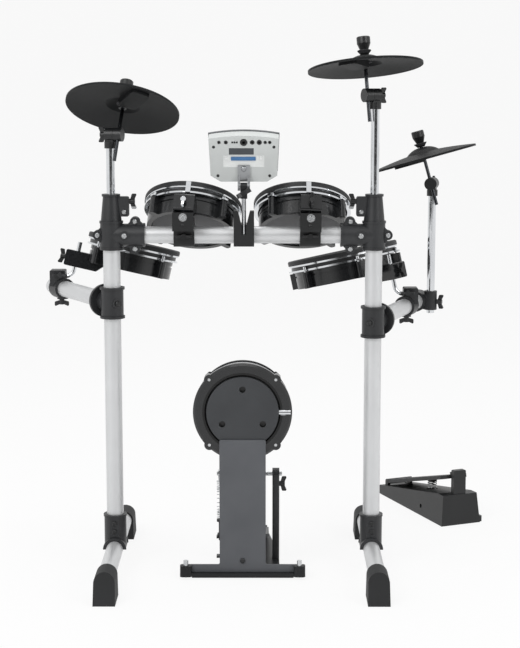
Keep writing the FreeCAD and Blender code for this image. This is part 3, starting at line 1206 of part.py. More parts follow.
def kick_pedal():
    """Kick pedal: base with posts, footboard, axle with cam and rocker, beater, chain and spring."""
    chain_y = AXLE_Y - CAM_R
    rest = math.radians(BOARD_REST)
    hook_h = BOARD_THICK + CHAIN_W
    heel_y = chain_y + BOARD_LENGTH * math.cos(rest) - hook_h * math.sin(rest)
    left, right = POST_X

    def on_axle(x):
        return Vector(x, AXLE_Y, AXLE_Z)

    front_y = AXLE_Y - POST_DEPTH
    plate = prism([
        Vector(left - POST_W, front_y - CAM_R, 0), Vector(right + POST_W / 2, front_y - CAM_R, 0),
        Vector(right + POST_W / 2, AXLE_Y + POST_DEPTH, 0),
        Vector(BOARD_X + BOARD_W / 2, heel_y + KNUCKLE_D, 0),
        Vector(BOARD_X - BOARD_W / 2, heel_y + KNUCKLE_D, 0),
        Vector(left - POST_W, AXLE_Y + POST_DEPTH, 0),
    ], Vector(0, 0, BASE_PLATE_H))
    solids = [plate]
    for x in POST_X:
        post_y = (AXLE_Y - POST_DEPTH / 2, AXLE_Y + POST_DEPTH / 2)
        post = box((x - POST_W / 2, x + POST_W / 2), post_y, (0, AXLE_Z))
        solids.append(rounded(post, POST_W / 4, Vector(0, 0, 1)))
        solids.append(cylinder(BEARING_D, on_axle(x - POST_W / 2), on_axle(x + POST_W / 2)))
    heel = Vector(BOARD_X, heel_y, HEEL_Z)
    ears, heel_hole, heel_pin = heel_hinge(heel, 0)
    solids += ears
    spring_y = AXLE_Y + ROCKER_R * math.cos(math.radians(ROCKER_DROP))
    spring_x = ROCKER_X
    bracket_y = (spring_y - POST_W / 2, spring_y + POST_W / 2)
    bracket = box((spring_x - POST_W / 2, left), bracket_y, (0, SPRING_BRACKET_Z))
    under = (BASE_PLATE_H, SPRING_BRACKET_Z - BASE_PLATE_H)
    room = box((spring_x - POST_W, left - POST_W / 2), (spring_y - POST_W, spring_y + POST_W), under)
    solids.append(bracket.cut(room))
    hanger_low = Vector(spring_x, spring_y, SPRING_BRACKET_Z - BASE_PLATE_H - SPRING_HANGER_D)
    hanger_top = Vector(spring_x, spring_y, SPRING_LOW_Z - SEAT_GAP)
    hanger_seat = Vector(spring_x, spring_y, SPRING_BRACKET_Z)
    nut = Vector(0, 0, SPRING_HANGER_D)
    hanger = joined([
        cylinder(SPRING_HANGER_D, hanger_low, hanger_top),
        cylinder(KICK_SPRING["d"], hanger_top.sub(nut), hanger_top),
        cylinder(2 * SPRING_HANGER_D, hanger_seat, hanger_seat.add(nut)),
    ])
    hanger_hole = cylinder(SPRING_HANGER_D + 2 * SEAT_GAP, hanger_low, hanger_seat)
    wing_seat = on_axle(right + POST_W / 2).add(Vector(0, BEARING_D / 3, -BEARING_D))
    inward = Vector(-1, 0, 0)
    cuts = [
        cylinder(AXLE_D + 2 * RUN_GAP, on_axle(left - POST_W), on_axle(right + POST_W)),
        heel_hole, hanger_hole, bolt_hole(wing_seat, inward),
    ]
    base = joined(solids).cut(cuts)
    base_solids = [base, heel_pin, hanger]
    base_solids.append(wing_bolt(wing_seat, inward, Vector(0, 0, 1)))

    hook_x = CAM_X - BOARD_X
    tongue_half = CHAIN_INNER - SKIN_GAP
    hook_pin = Vector(hook_x, -BOARD_LENGTH, hook_h)
    half_pin = Vector(CHAIN_W, 0, 0)
    hook_y = (-BOARD_LENGTH - CHAIN_W / 2, -BOARD_LENGTH + CHAIN_W / 2)
    hook = box((hook_x - tongue_half, hook_x + tongue_half), hook_y, (0, hook_h + CHAIN_W / 2))
    hook = rounded(hook, CHAIN_W / 3, Vector(1, 0, 0), lambda middle: middle.z > hook_h)
    hook = hook.cut(cylinder(CHAIN_W / 2 + 2 * SKIN_GAP, hook_pin.sub(half_pin), hook_pin.add(half_pin)))
    board = joined([treadle(BOARD_W, BOARD_LENGTH, BOARD_OVER, BOARD_THICK), hook])
    board_place = Placement(heel, Rotation(Vector(1, 0, 0), -BOARD_REST))
    low_pin = board_place.multVec(hook_pin)

    groove_r = CAM_R - CHAIN_W / 2 - SKIN_GAP
    rim_r = groove_r + CAM_GROOVE
    groove_half = CHAIN_OUTER + CHAIN_PLATE + SKIN_GAP
    wheel_half = groove_half + CAM_W / 4
    wheel = lathe([
        (0, -wheel_half), (rim_r, -wheel_half), (rim_r, -groove_half), (groove_r, -groove_half),
        (groove_r, groove_half), (rim_r, groove_half), (rim_r, wheel_half), (0, wheel_half),
    ])
    wheel = placed(wheel, Placement(on_axle(CAM_X), Rotation(Vector(0, 1, 0), 90)))
    drop = math.radians(ROCKER_DROP)
    rocker_tip = on_axle(ROCKER_X).add(Vector(0, math.cos(drop), -math.sin(drop)) * ROCKER_R)
    thick = Vector(ROCKER_THICK / 2, 0, 0)
    across = Vector(0, math.sin(drop), math.cos(drop)) * AXLE_D
    lever = prism([
        on_axle(ROCKER_X).add(across).sub(thick), rocker_tip.add(across / 2).sub(thick),
        rocker_tip.sub(across / 2).sub(thick), on_axle(ROCKER_X).sub(across).sub(thick),
    ], thick * 2)
    eye = cylinder(AXLE_D + SPRING_HANGER_D, rocker_tip.sub(thick), rocker_tip.add(thick))
    boss = cylinder(2 * AXLE_D, on_axle(ROCKER_X).sub(thick), on_axle(ROCKER_X).add(thick))
    seat_z = rocker_tip.z - (AXLE_D + SPRING_HANGER_D) / 2
    spring_top = Vector(spring_x, spring_y, seat_z - SPRING_HANGER_D)
    button = cylinder(KICK_SPRING["d"], spring_top, spring_top.add(Vector(0, 0, SPRING_HANGER_D / 2)))
    stem = cylinder(SPRING_HANGER_D, spring_top, Vector(spring_x, spring_y, rocker_tip.z))
    lean = math.radians(BEATER_REST)
    reach = Vector(0, math.sin(lean), math.cos(lean))
    rod_start = on_axle(CAM_X).add(reach * AXLE_D)
    rod_end = on_axle(CAM_X).add(reach * (BEATER_REACH + BEATER_D / 2 + BEATER_ROD_D))
    shaft = cylinder(AXLE_D, on_axle(ROCKER_X - ROCKER_THICK), on_axle(right + POST_W / 2 + ROCKER_THICK))
    axle_solid = joined([shaft, wheel, lever, eye, boss, stem, button])
    axle_solid = axle_solid.cut(cylinder(BEATER_ROD_D + 2 * SEAT_GAP, rod_start, rod_end))
    rod = cylinder(BEATER_ROD_D, rod_start, rod_end)
    strike = Vector(0, -math.cos(lean), math.sin(lean))
    felt_mid = on_axle(CAM_X).add(reach * BEATER_REACH)
    felt_half = BEATER_LENGTH / 2
    felt = cylinder(BEATER_D, felt_mid.sub(strike * felt_half), felt_mid.add(strike * felt_half))
    felt = felt.makeFillet(BEATER_D / 6, [felt.Edges[0], felt.Edges[2]])
    beater = [rod, felt.cut(cylinder(BEATER_ROD_D + 2 * SEAT_GAP, rod_start, rod_end))]

    count = round((AXLE_Z - low_pin.z) / CHAIN_PITCH)
    pitch = (AXLE_Z - low_pin.z) / count
    free = [Vector(CAM_X, chain_y, low_pin.z + index * pitch) for index in range(count + 1)]
    wrapped = []
    for index in range(CHAIN_WRAPPED + 1):
        turn = index * pitch / CAM_R
        wrapped.append(on_axle(CAM_X).add(Vector(0, -CAM_R * math.cos(turn), CAM_R * math.sin(turn))))
    pin_gap = cylinder(CHAIN_W / 2 + 2 * SKIN_GAP, free[-1].sub(half_pin), free[-1].add(half_pin))
    wrap = chain(wrapped, count).cut(pin_gap)
    coil = helix_spring(KICK_SPRING, Vector(spring_x, spring_y, SPRING_LOW_Z), spring_top)
    return {
        "kick_pedal_base": base_solids,
        "kick_footboard": [placed(board, board_place)],
        "kick_axle": [axle_solid, wrap],
        "kick_beater": beater,
        "kick_chain": [chain(free, 0)],
        "kick_spring": [coil],
    }


TREADLE_LENGTH = PEDAL_LENGTH - TREADLE_SHORT
TREADLE_HEEL = Vector(0, PEDAL_LENGTH - HEEL_INSET, HEEL_RISE)
COIL_AT = PEDAL_LENGTH - COIL_SHORT


def hihat_pedal():
    """Hi-hat pedal: wedge base with a toe post, hinged footboard, and the return spring."""
    def floor_plan(z, inset):
        toe = PEDAL_TOE_W / 2 - inset
        heel = PEDAL_HEEL_W / 2 - inset
        points = [
            Vector(-toe, inset, z), Vector(toe, inset, z),
            Vector(heel, PEDAL_LENGTH - inset, z), Vector(-heel, PEDAL_LENGTH - inset, z),
        ]
        return Part.makePolygon(points + [points[0]])

    block = Part.makeLoft([floor_plan(0, 0), floor_plan(PEDAL_TOE_H, PEDAL_DRAFT)], True, True)
    across = PEDAL_TOE_W
    above = prism([
        Vector(-across, PEDAL_TOP_LENGTH, PEDAL_TOE_H), Vector(-across, PEDAL_LENGTH, PEDAL_HEEL_H),
        Vector(-across, PEDAL_LENGTH, PEDAL_TOE_H),
    ], Vector(2 * across, 0, 0))
    half = TOE_POST_W / 2
    post_y = (TOE_POST_AT, TOE_POST_AT + TOE_POST_DEPTH)
    post = box((-half, half), post_y, (PEDAL_TOE_H / 2, TOE_POST_TOP))
    post = rounded(post, TOE_POST_DEPTH / 4, Vector(0, 1, 0), lambda middle: middle.z > PEDAL_TOE_H)
    spur = box(
        ((PEDAL_TOE_W - SPUR_W) / 2, (PEDAL_TOE_W + SPUR_W) / 2),
        (SPUR_W / 4, 3 * SPUR_W / 2), (0, SPUR_H))
    spur = rounded(spur, SPUR_W / 4, Vector(0, 0, 1))
    ears, heel_hole, heel_pin = heel_hinge(TREADLE_HEEL, PEDAL_HEEL_H / 2)
    well_low = Vector(0, COIL_AT, COIL_SEAT_Z)
    well = cylinder(HIHAT_SPRING["d"] + 2 * COIL_ROOM, well_low, Vector(0, COIL_AT, PEDAL_TOE_H))
    knuckle_room = box(
        (-KNUCKLE_HALF - SKIN_GAP, KNUCKLE_HALF + SKIN_GAP),
        (TREADLE_HEEL.y - KNUCKLE_D, PEDAL_LENGTH), (TREADLE_HEEL.z - KNUCKLE_D, TREADLE_HEEL.z + KNUCKLE_D))
    jack_in = SIDE_JACK_AT.sub(Vector(SIDE_JACK_IN, 0, 0))
    jack = cylinder(SIDE_JACK_D, jack_in, SIDE_JACK_AT.sub(Vector(PEDAL_TOE_W, 0, 0)))
    base = joined([block.cut(above), post, spur] + ears).cut([well, heel_hole, knuckle_room, jack])
    lean = math.radians(TREADLE_REST)
    knob_y = -TREADLE_LENGTH
    knob = cylinder(TOE_KNOB_D, Vector(0, knob_y, 0), Vector(0, knob_y, TREADLE_THICK / 2 + TOE_KNOB_H))
    board = joined([treadle(TREADLE_W, TREADLE_LENGTH, TREADLE_OVER, TREADLE_THICK), knob])
    board = placed(board, Placement(TREADLE_HEEL, Rotation(Vector(1, 0, 0), -TREADLE_REST)))
    seat_r = HIHAT_SPRING["d"] / 2
    near_heel = TREADLE_HEEL.y - COIL_AT - seat_r
    top_z = TREADLE_HEEL.z + near_heel * math.tan(lean) - TREADLE_THICK / 2 / math.cos(lean)
    seat_top = Vector(0, COIL_AT, top_z + seat_r * math.tan(lean))
    seat = cylinder(HIHAT_SPRING["d"], Vector(0, COIL_AT, top_z - SEAT_GAP), seat_top)
    board = joined([board, seat])
    coil = helix_spring(
        HIHAT_SPRING, Vector(0, COIL_AT, COIL_SEAT_Z + SEAT_GAP), Vector(0, COIL_AT, top_z - 2 * SEAT_GAP))
    place = Placement(HIHAT_PEDAL["toe"], Rotation(Vector(0, 0, 1), HIHAT_PEDAL["turn"]))
    return {
        "hihat_pedal_base": [placed(solid, place) for solid in (base, heel_pin)],
        "hihat_footboard": [placed(board, place)],
        "hihat_spring": [placed(coil, place)],
    }


def module_slab(outset, start_y, depth):
    """The module's outline, grown by an amount, pushed back along Y."""
    top = MODULE_TOP_W / 2
    low = MODULE_LOW_W / 2
    cut_x, cut_z = MODULE_CUT
    shoulder = MODULE_LOW + MODULE_H - MODULE_ARCH
    flat = [
        Vector(-top, 0, shoulder), Vector(-low, 0, MODULE_LOW + cut_z), Vector(cut_x - low, 0, MODULE_LOW),
        Vector(low - cut_x, 0, MODULE_LOW), Vector(low, 0, MODULE_LOW + cut_z), Vector(top, 0, shoulder),
    ]
    arch = Part.Arc(flat[-1], Vector(0, 0, MODULE_LOW + MODULE_H), flat[0]).toShape()
    wire = Part.Wire(Part.makePolygon(flat).Edges + [arch])
    if outset:
        wire = wire.makeOffset2D(outset, 2)
    wire.translate(Vector(0, start_y, 0))
    return Part.Face(wire).extrude(Vector(0, depth, 0))


def module_clamp():
    """Clamp on the crossbar, with a notch between two horns, and the rod that stands in it."""
    half = MODULE_CLAMP_W / 2
    wall = TUBE_D / 2 + MODULE_CLAMP_WALL
    front = RACK_Y - TUBE_D / 2 - MODULE_CLAMP_FRONT
    low = CROSSBAR_Z - wall + MODULE_CLAMP_WALL / 2
    top = CROSSBAR_Z + wall
    x = MODULE_AT.x
    sleeve = box((x - half, x + half), (front, RACK_Y + wall), (low, top))
    sleeve = rounded(sleeve, MODULE_CLAMP_WALL, Vector(1, 0, 0), lambda middle: middle.y > RACK_Y)
    horn_depth = 2 * (MODULE_AT.y - front)
    notch_half = NOTCH_W / 2
    horns = prism([
        Vector(x - half, front, top - wall), Vector(x + half, front, top - wall),
        Vector(x + half, front, top + HORN_RISE), Vector(x + half - HORN_TOP_W, front, top + HORN_RISE),
        Vector(x + notch_half, front, top), Vector(x - notch_half, front, top),
        Vector(x - half + HORN_TOP_W, front, top + HORN_RISE), Vector(x - half, front, top + HORN_RISE),
    ], Vector(0, horn_depth, 0))
    foot = Vector(x, MODULE_AT.y, top - ROD_SOCKET)
    head = Vector(x, MODULE_AT.y, MODULE_AT.z - EYE_BLOCK_H)
    slot = box(
        (x - MODULE_ROD_D / 2, x + MODULE_ROD_D / 2), (front, MODULE_AT.y), (top - SLOT_H, top + HORN_RISE))
    cuts = [
        cylinder(TUBE_BORE, Vector(x - half, RACK_Y, CROSSBAR_Z), Vector(x + half, RACK_Y, CROSSBAR_Z)),
        cylinder(MODULE_ROD_D + 2 * SEAT_GAP, foot, head), slot,
    ]
    clamp = joined([sleeve, horns]).cut(cuts)
    eye_half = Vector(EYE_W / 2, 0, 0)
    block = box(
        (x - EYE_W / 2, x + EYE_W / 2), (MODULE_AT.y - EYE_D / 2, MODULE_AT.y + EYE_D / 2),
        (MODULE_AT.z - EYE_BLOCK_H, MODULE_AT.z))
    eye = cylinder(EYE_D, MODULE_AT.sub(eye_half), MODULE_AT.add(eye_half))
    wing_seat = Vector(x, MODULE_AT.y - EYE_D / 2, MODULE_AT.z - EYE_BLOCK_H / 2)
    span = Vector(math.cos(WING_TURN), 0, math.sin(WING_TURN))
    rod = joined([block, eye, cylinder(MODULE_ROD_D, foot.add(Vector(0, 0, SKIN_GAP)), head)])
    pin_hole = cylinder(BOLT_SHANK_D + 2 * RUN_GAP, MODULE_AT.sub(eye_half), MODULE_AT.add(eye_half))
    rod = rod.cut([pin_hole, bolt_hole(wing_seat, BACKWARD)])
    return [clamp, rod, wing_bolt(wing_seat, BACKWARD, span, MODULE_WING_THICK)]


def module():
    """Sound module: clamp, bracket, hollow case, front panel, circuit board with jacks, and controls."""
    back = MODULE_BACK
    inside = back + MODULE_WALL
    front = back + MODULE_DEPTH
    face = front + PANEL_THICK
    low = MODULE_LOW
    holes = []
    jacks = []
    circuit_y = inside + CIRCUIT_GAP
    jack_z = low + JACK_ROW
    for x, diameter in JACKS:
        outer = Vector(x, back - JACK_PROUD, jack_z)
        inner = Vector(x, circuit_y, jack_z)
        jacks.append(cylinder(diameter, outer, inner).cut(
            cylinder(diameter / 2, outer, outer.add(BACKWARD * diameter / 2))))
        holes.append(cylinder(diameter + 2 * SEAT_GAP, outer, inner))
    port_z = [low + z for z in PORT_Z]
    jacks.append(box(PORT_X, (back - JACK_PROUD, circuit_y), port_z))
    room_x = (PORT_X[0] - SEAT_GAP, PORT_X[1] + SEAT_GAP)
    room_z = (port_z[0] - SEAT_GAP, port_z[1] + SEAT_GAP)
    holes.append(box(room_x, (back, inside), room_z))
    edge = (MODULE_TOP_W - MODULE_LOW_W) + MODULE_WALL
    circuit = box(
        (edge - MODULE_LOW_W / 2, MODULE_LOW_W / 2 - edge), (circuit_y, circuit_y + CIRCUIT_THICK),
        (port_z[0] - BRACKET_H / 2, jack_z + MODULE_WALL))
    case = module_slab(0, back, MODULE_DEPTH)
    cavity = module_slab(-MODULE_WALL, inside, MODULE_DEPTH)
    plate_z = [low + z for z in PORT_PLATE_Z]
    label_z = [low + z for z in LABEL_Z]
    pockets = [
        box(PORT_PLATE_X, (back, back + PORT_RECESS), plate_z),
        box(LABEL_X, (back, back + LABEL_RECESS), label_z),
    ]
    posts = []
    for x in PORT_POSTS_X:
        seat = Vector(x, back + PORT_RECESS, (port_z[0] + port_z[1]) / 2)
        posts.append(cylinder(CASE_SCREW_D, seat, seat.sub(BACKWARD * (PORT_RECESS + JACK_PROUD))))
    for x, z in CASE_SCREWS:
        spot = Vector(x, back, low + z)
        pockets.append(cylinder(CASE_SCREW_D, spot, spot.add(BACKWARD * CASE_SCREW_DEEP)))
    case = joined([case.cut([cavity] + pockets)] + posts)
    plate_low = low + BRACKET_LOW
    screw = Vector(0, back - BRACKET_THICK, plate_low + BRACKET_H - BOLT_HEAD_D / 2 - PANEL_LIP)
    case = case.cut(holes + [cylinder(BOLT_SHANK_D + 2 * SEAT_GAP, screw, screw.add(BACKWARD * BOLT_BITE))])

    half = BRACKET_W / 2
    plate = box((-half, half), (back - BRACKET_THICK, back - SEAT_GAP), (plate_low, plate_low + BRACKET_H))
    near = EYE_W / 2 + SKIN_GAP
    cheeks = []
    for start, end in ((-half, -near), (near, half)):
        cheeks.append(cylinder(EYE_D, Vector(start, 0, 0), Vector(end, 0, 0)))
        cheeks.append(prism([
            Vector(start, -EYE_D / 2, 0), Vector(start, back - SEAT_GAP, plate_low + EYE_D),
            Vector(start, back - SEAT_GAP, plate_low), Vector(start, EYE_D / 2, 0),
        ], Vector(end - start, 0, 0)))
    pin = cylinder(BOLT_SHANK_D, Vector(-half, 0, 0), Vector(half, 0, 0))
    bracket = joined([plate, pin] + cheeks).cut(bolt_hole(screw, BACKWARD))

    panel = module_slab(PANEL_LIP, front + SEAT_GAP, PANEL_THICK - SEAT_GAP)
    control_z = low + CONTROL_Z
    display_z = low + DISPLAY_AT
    cuts = [box(
        (-DISPLAY_W / 2, DISPLAY_W / 2), (face - DISPLAY_DEEP, face),
        (display_z - DISPLAY_H / 2, display_z + DISPLAY_H / 2))]
    knobs = []
    for x, diameter, height in ((DIAL_X, DIAL_D, DIAL_H), (VOLUME_X, VOLUME_D, VOLUME_H)):
        root = Vector(x, front + SEAT_GAP, control_z)
        seat = Vector(x, face + SKIN_GAP, control_z)
        cap = cylinder(diameter, seat, seat.add(BACKWARD * height))
        cap = cap.makeChamfer(height / 6, [cap.Edges[0]])
        cap = cap.cut(box(
            (x - height / 6, x + height / 6), (face + height / 2, face + 2 * height),
            (control_z + diameter / 4, control_z + diameter)))
        knobs.append(joined([cap, cylinder(KNOB_SHAFT_D, root, seat)]))
        cuts.append(cylinder(KNOB_SHAFT_D + 2 * RUN_GAP, root, seat))
    keys = []
    for x in KEY_X:
        key_x = (x - KEY_W / 2, x + KEY_W / 2)
        key_z = (control_z - KEY_H / 2, control_z + KEY_H / 2)
        key = box(key_x, (face - KEY_BACK, face + KEY_PROUD), key_z)
        keys.append(rounded(key, KEY_PROUD / 2, BACKWARD))
        room_x = (key_x[0] - SKIN_GAP, key_x[1] + SKIN_GAP)
        room_z = (key_z[0] - SKIN_GAP, key_z[1] + SKIN_GAP)
        cuts.append(box(room_x, (front, face), room_z))
    local = {
        "module_bracket": [bracket, bolt(screw, BACKWARD)],
        "module_case": [case],
        "module_panel": [panel.cut(cuts)],
        "module_jacks": [joined([circuit] + jacks)],
        "module_dial": [knobs[0]],
        "module_volume": [knobs[1]],
        "module_left_key": [keys[0]],
        "module_right_key": [keys[1]],
    }
    place = Placement(MODULE_AT, Rotation(Vector(1, 0, 0), MODULE_TILT))
    found = {"module_clamp": module_clamp()}
    for name, solids in local.items():
        found[name] = [placed(solid, place) for solid in solids]
    return found


os.makedirs("parts", exist_ok=True)
nodes = {}
nodes.update(rack())
nodes.update(pads_and_cymbals())
stand, strip, spikes = kick_stand()
nodes.update(stand)
nodes["rubber_feet"].append(strip)
nodes["rack_bolts"] += spikes
nodes.update(kick_pedal())
nodes.update(hihat_pedal())
nodes.update(module())
for name, solids in nodes.items():
    Part.makeCompound(solids).exportStep("parts/" + name + ".step")
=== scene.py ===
import math

import bmesh
import bpy
from mathutils import Euler, Matrix, Vector


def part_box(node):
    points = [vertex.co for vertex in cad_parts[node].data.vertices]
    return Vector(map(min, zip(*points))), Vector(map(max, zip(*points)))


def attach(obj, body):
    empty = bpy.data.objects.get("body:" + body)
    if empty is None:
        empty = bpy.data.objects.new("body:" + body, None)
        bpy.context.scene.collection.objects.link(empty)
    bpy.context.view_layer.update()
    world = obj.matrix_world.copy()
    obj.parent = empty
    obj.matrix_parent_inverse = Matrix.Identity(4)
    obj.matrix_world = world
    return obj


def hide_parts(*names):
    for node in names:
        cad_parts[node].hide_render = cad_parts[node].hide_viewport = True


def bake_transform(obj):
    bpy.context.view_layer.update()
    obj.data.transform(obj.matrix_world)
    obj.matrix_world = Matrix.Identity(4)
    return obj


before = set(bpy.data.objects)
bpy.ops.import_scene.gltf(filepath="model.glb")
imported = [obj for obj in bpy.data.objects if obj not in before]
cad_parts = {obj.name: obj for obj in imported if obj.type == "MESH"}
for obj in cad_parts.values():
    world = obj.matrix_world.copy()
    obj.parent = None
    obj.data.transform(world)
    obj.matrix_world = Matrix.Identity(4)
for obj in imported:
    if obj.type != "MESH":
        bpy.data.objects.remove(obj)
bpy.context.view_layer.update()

# Rack tubes: two uprights on long foot bars, a crossbar and two side arms.
# Round steel tube, 38 mm across, drawn and then anodised to a satin silver;
# every joint is a clamp, so the tube runs plain from end to end.


def linear(shade):
    """An sRGB hex colour as the linear colour that a socket takes."""
    parts = [int(shade[at:at + 2], 16) / 255 for at in (1, 3, 5)]
    return [c / 12.92 if c <= 0.04045 else ((c + 0.055) / 1.055) ** 2.4 for c in parts] + [1.0]


def put(material, kind, settings, inputs):
    """Adds one node with its settings; an input is a value or a socket to link from."""
    tree = material.node_tree
    node = tree.nodes.new("ShaderNode" + kind)
    for name, value in settings.items():
        setattr(node, name, value)
    for name, value in inputs.items():
        if isinstance(value, bpy.types.NodeSocket):
            tree.links.new(value, node.inputs[name])
        else:
            node.inputs[name].default_value = value
    return node


def surface(material, place, look):
    """Colour, metal, roughness and height sockets of one finish, with its grain in mm."""
    per_metre = 1000 / look["grain"]
    stretched = put(material, "VectorMath", {"operation": "MULTIPLY"},
                    {0: place, 1: look.get("drawn", (1, 1, 1))})
    fine = put(material, "TexNoise", {}, {
        "Vector": stretched.outputs[0], "Scale": per_metre, "Detail": 3.0, "Roughness": 0.55})
    broad = put(material, "TexNoise", {}, {"Vector": place, "Scale": 1000 / 90, "Detail": 2.0})
    blotch = put(material, "Math", {"operation": "MULTIPLY_ADD"},
                 {0: fine.outputs[0], 1: 0.45, 2: broad.outputs[0]})
    share = put(material, "MapRange", {}, {
        "Value": blotch.outputs[0], "From Min": 0.5, "From Max": 0.95})
    colour = put(material, "Mix", {"data_type": "RGBA"}, {
        0: share.outputs[0], 6: linear(look["dark"]), 7: linear(look["light"])})
    low, high = look["rough"]
    rough = put(material, "MapRange", {}, {
        "Value": fine.outputs[0], "From Min": 0.3, "From Max": 0.7, "To Min": low, "To Max": high})
    height = put(material, "Math", {"operation": "MULTIPLY"},
                 {0: fine.outputs[0], 1: look["depth"]})
    return {"colour": colour.outputs[2], "metal": look["metal"],
            "rough": rough.outputs[0], "height": height.outputs[0]}


def finish(name, base, zones=(), relief=None, **sockets):
    """A material: a base finish, other finishes where a zone's mask is 1, and a relief in mm."""
    material = bpy.data.materials.new(name)
    material.use_nodes = True
    material.node_tree.nodes.clear()
    place = put(material, "TexCoord", {}, {}).outputs["Object"]
    found = surface(material, place, base)
    for mask_of, look in zones:
        mask = mask_of(material, place)
        other = surface(material, place, look)
        mixed = put(material, "Mix", {"data_type": "RGBA"},
                    {0: mask, 6: found["colour"], 7: other["colour"]})
        found["colour"] = mixed.outputs[2]
        for key in ("metal", "rough", "height"):
            if key == "metal" and found[key] == other[key]:
                continue
            mixed = put(material, "Mix", {}, {0: mask, 2: found[key], 3: other[key]})
            found[key] = mixed.outputs[0]
    if relief:
        added = put(material, "Math", {"operation": "ADD"},
                    {0: found["height"], 1: relief(material, place)})
        found["height"] = added.outputs[0]
    bump = put(material, "Bump", {}, {"Height": found["height"], "Distance": 0.001, "Strength": 1.0})
    shader = put(material, "BsdfPrincipled", {}, {
        "Base Color": found["colour"], "Metallic": found["metal"], "Roughness": found["rough"],
        "Normal": bump.outputs[0], **sockets})
    put(material, "OutputMaterial", {}, {"Surface": shader.outputs[0]})
    return material


def dress(material, *names):
    """Gives CAD nodes or pieces one material in every slot."""
    for name in names:
        piece = bpy.data.objects[name]
        if not piece.material_slots:
            piece.data.materials.append(material)
        for held in piece.material_slots:
            held.link = "OBJECT"
            held.material = material


# Anodised steel: a soft broad highlight, with faint draw lines along each tube.
anodised = {"light": "#d6d7d8", "dark": "#cfd0d1", "metal": 0.6, "rough": (0.4, 0.48),
            "grain": 1.6, "depth": 0.004}
dress(finish("anodised_tube_upright", {**anodised, "drawn": (1, 1, 0.03)}),
      "left_upright", "right_upright")
dress(finish("anodised_tube_crossbar", {**anodised, "drawn": (0.03, 1, 1)}), "crossbar")
dress(finish("anodised_tube_foot", {**anodised, "drawn": (1, 0.03, 1)}), "foot_bars")
dress(finish("anodised_tube_arm", {**anodised, "drawn": (0.3, 0.3, 1)}),
      "left_arm_tube", "right_arm_tube")

# Feet: a wedge cap pushed on each end of the foot bars, and the strip under the
# kick stand's base. Black rubber, moulded, with a dull skin that scuffs grey.
rubber = {"light": "#1c1d1f", "dark": "#121314", "metal": 0.0, "rough": (0.62, 0.8),
          "grain": 0.9, "depth": 0.08}
dress(finish("moulded_rubber", rubber), "rubber_feet")

# Fittings: split clamshells at the rack's corners and saddle clamps on the foot bars.
# Glass-filled nylon, moulded with a fine spark texture, drawn shut by pan-head
# bolts, zinc at the corners and black at the feet, and by wing bolts at the collars.


def near(reach, *points):
    """A mask that is 1 within a reach, in mm, of any of the points, in mm."""
    def mask_of(material, place):
        found = 0.0
        for point in points:
            away = put(material, "VectorMath", {"operation": "DISTANCE"},
                       {0: place, 1: [c / 1000 for c in point]})
            close = put(material, "Math", {"operation": "LESS_THAN"},
                        {0: away.outputs["Value"], 1: reach / 1000})
            either = put(material, "Math", {"operation": "MAXIMUM"}, {0: close.outputs[0], 1: found})
            found = either.outputs[0]
        return found
    return mask_of


def above(axis, level):
    """A mask that is 1 where the way along an axis is past a level, in mm."""
    def mask_of(material, place):
        along = put(material, "VectorMath", {"operation": "DOT_PRODUCT"}, {0: place, 1: axis})
        past = put(material, "Math", {"operation": "GREATER_THAN"},
                   {0: along.outputs["Value"], 1: level / 1000})
        return past.outputs[0]
    return mask_of


def both(first, second):
    """A mask that is 1 where both masks are."""
    def mask_of(material, place):
        product = put(material, "Math", {"operation": "MULTIPLY"},
                      {0: first(material, place), 1: second(material, place)})
        return product.outputs[0]
    return mask_of


# Moulded nylon: near black, half dull, with a grain that catches the light.
nylon = {"light": "#28292b", "dark": "#1b1c1e", "metal": 0.0, "rough": (0.36, 0.5),
         "grain": 0.8, "depth": 0.06}
black_nylon = {**nylon, "light": "#1a1b1c", "dark": "#111213", "rough": (0.32, 0.44)}
# Zinc plate: a bright, slightly cloudy silver.
zinc = {"light": "#d5d7d8", "dark": "#b9bbbd", "metal": 1.0, "rough": (0.2, 0.34),
        "grain": 2.5, "depth": 0.02}
dress(finish("spark_textured_nylon", nylon), "corner_fittings", "foot_clamps")
wing_level = 826.4
foot_height = 200
kick_plate_back = 20
screw_reach = 9
wing_places = above((0, 0, 1), wing_level)
foot_places = both(above((0, 0, -1), -foot_height), above((0, 1, 0), kick_plate_back))
kick_screw = near(screw_reach, (0, -16, 40))
dress(finish("zinc_plated_bolts", zinc, [
    (wing_places, black_nylon), (foot_places, black_nylon), (kick_screw, black_nylon)]), "rack_bolts")

# Tom mounts: a clamp that turns on the crossbar, a wing bolt that locks it, and the
# rod that the pad slides on. Moulded nylon on a chromed steel rod, with a zinc screw
# through the clamp's nose on to the rod.
pads = {
    "left_tom": {"centre": (-114, 174, 820), "turn": (-30, 6, 0), "size": 203.2, "holder": -96},
    "right_tom": {"centre": (135, 174, 820), "turn": (-30, 0, 0), "size": 203.2, "holder": -84},
    "floor_tom": {"centre": (-263, 340, 713), "turn": (-6, 13, 0), "size": 203.2, "holder": 180},
    "snare": {"centre": (241, 455, 678), "turn": (-6, -12, 0), "size": 254.0, "holder": -47},
    "kick": {"centre": (0, 54, 377), "turn": (-90, 0, 0), "size": 194.0, "holder": 0},
}


def in_frame(piece, mask):
    """The same mask in a tilted piece's own frame: its centre in mm, its turns in degrees."""
    def mask_of(material, place):
        own = put(material, "Mapping", {"vector_type": "TEXTURE"}, {
            "Vector": place, "Location": [c / 1000 for c in piece["centre"]],
            "Rotation": [math.radians(angle) for angle in piece["turn"]]})
        return mask(material, own.outputs[0])
    return mask_of


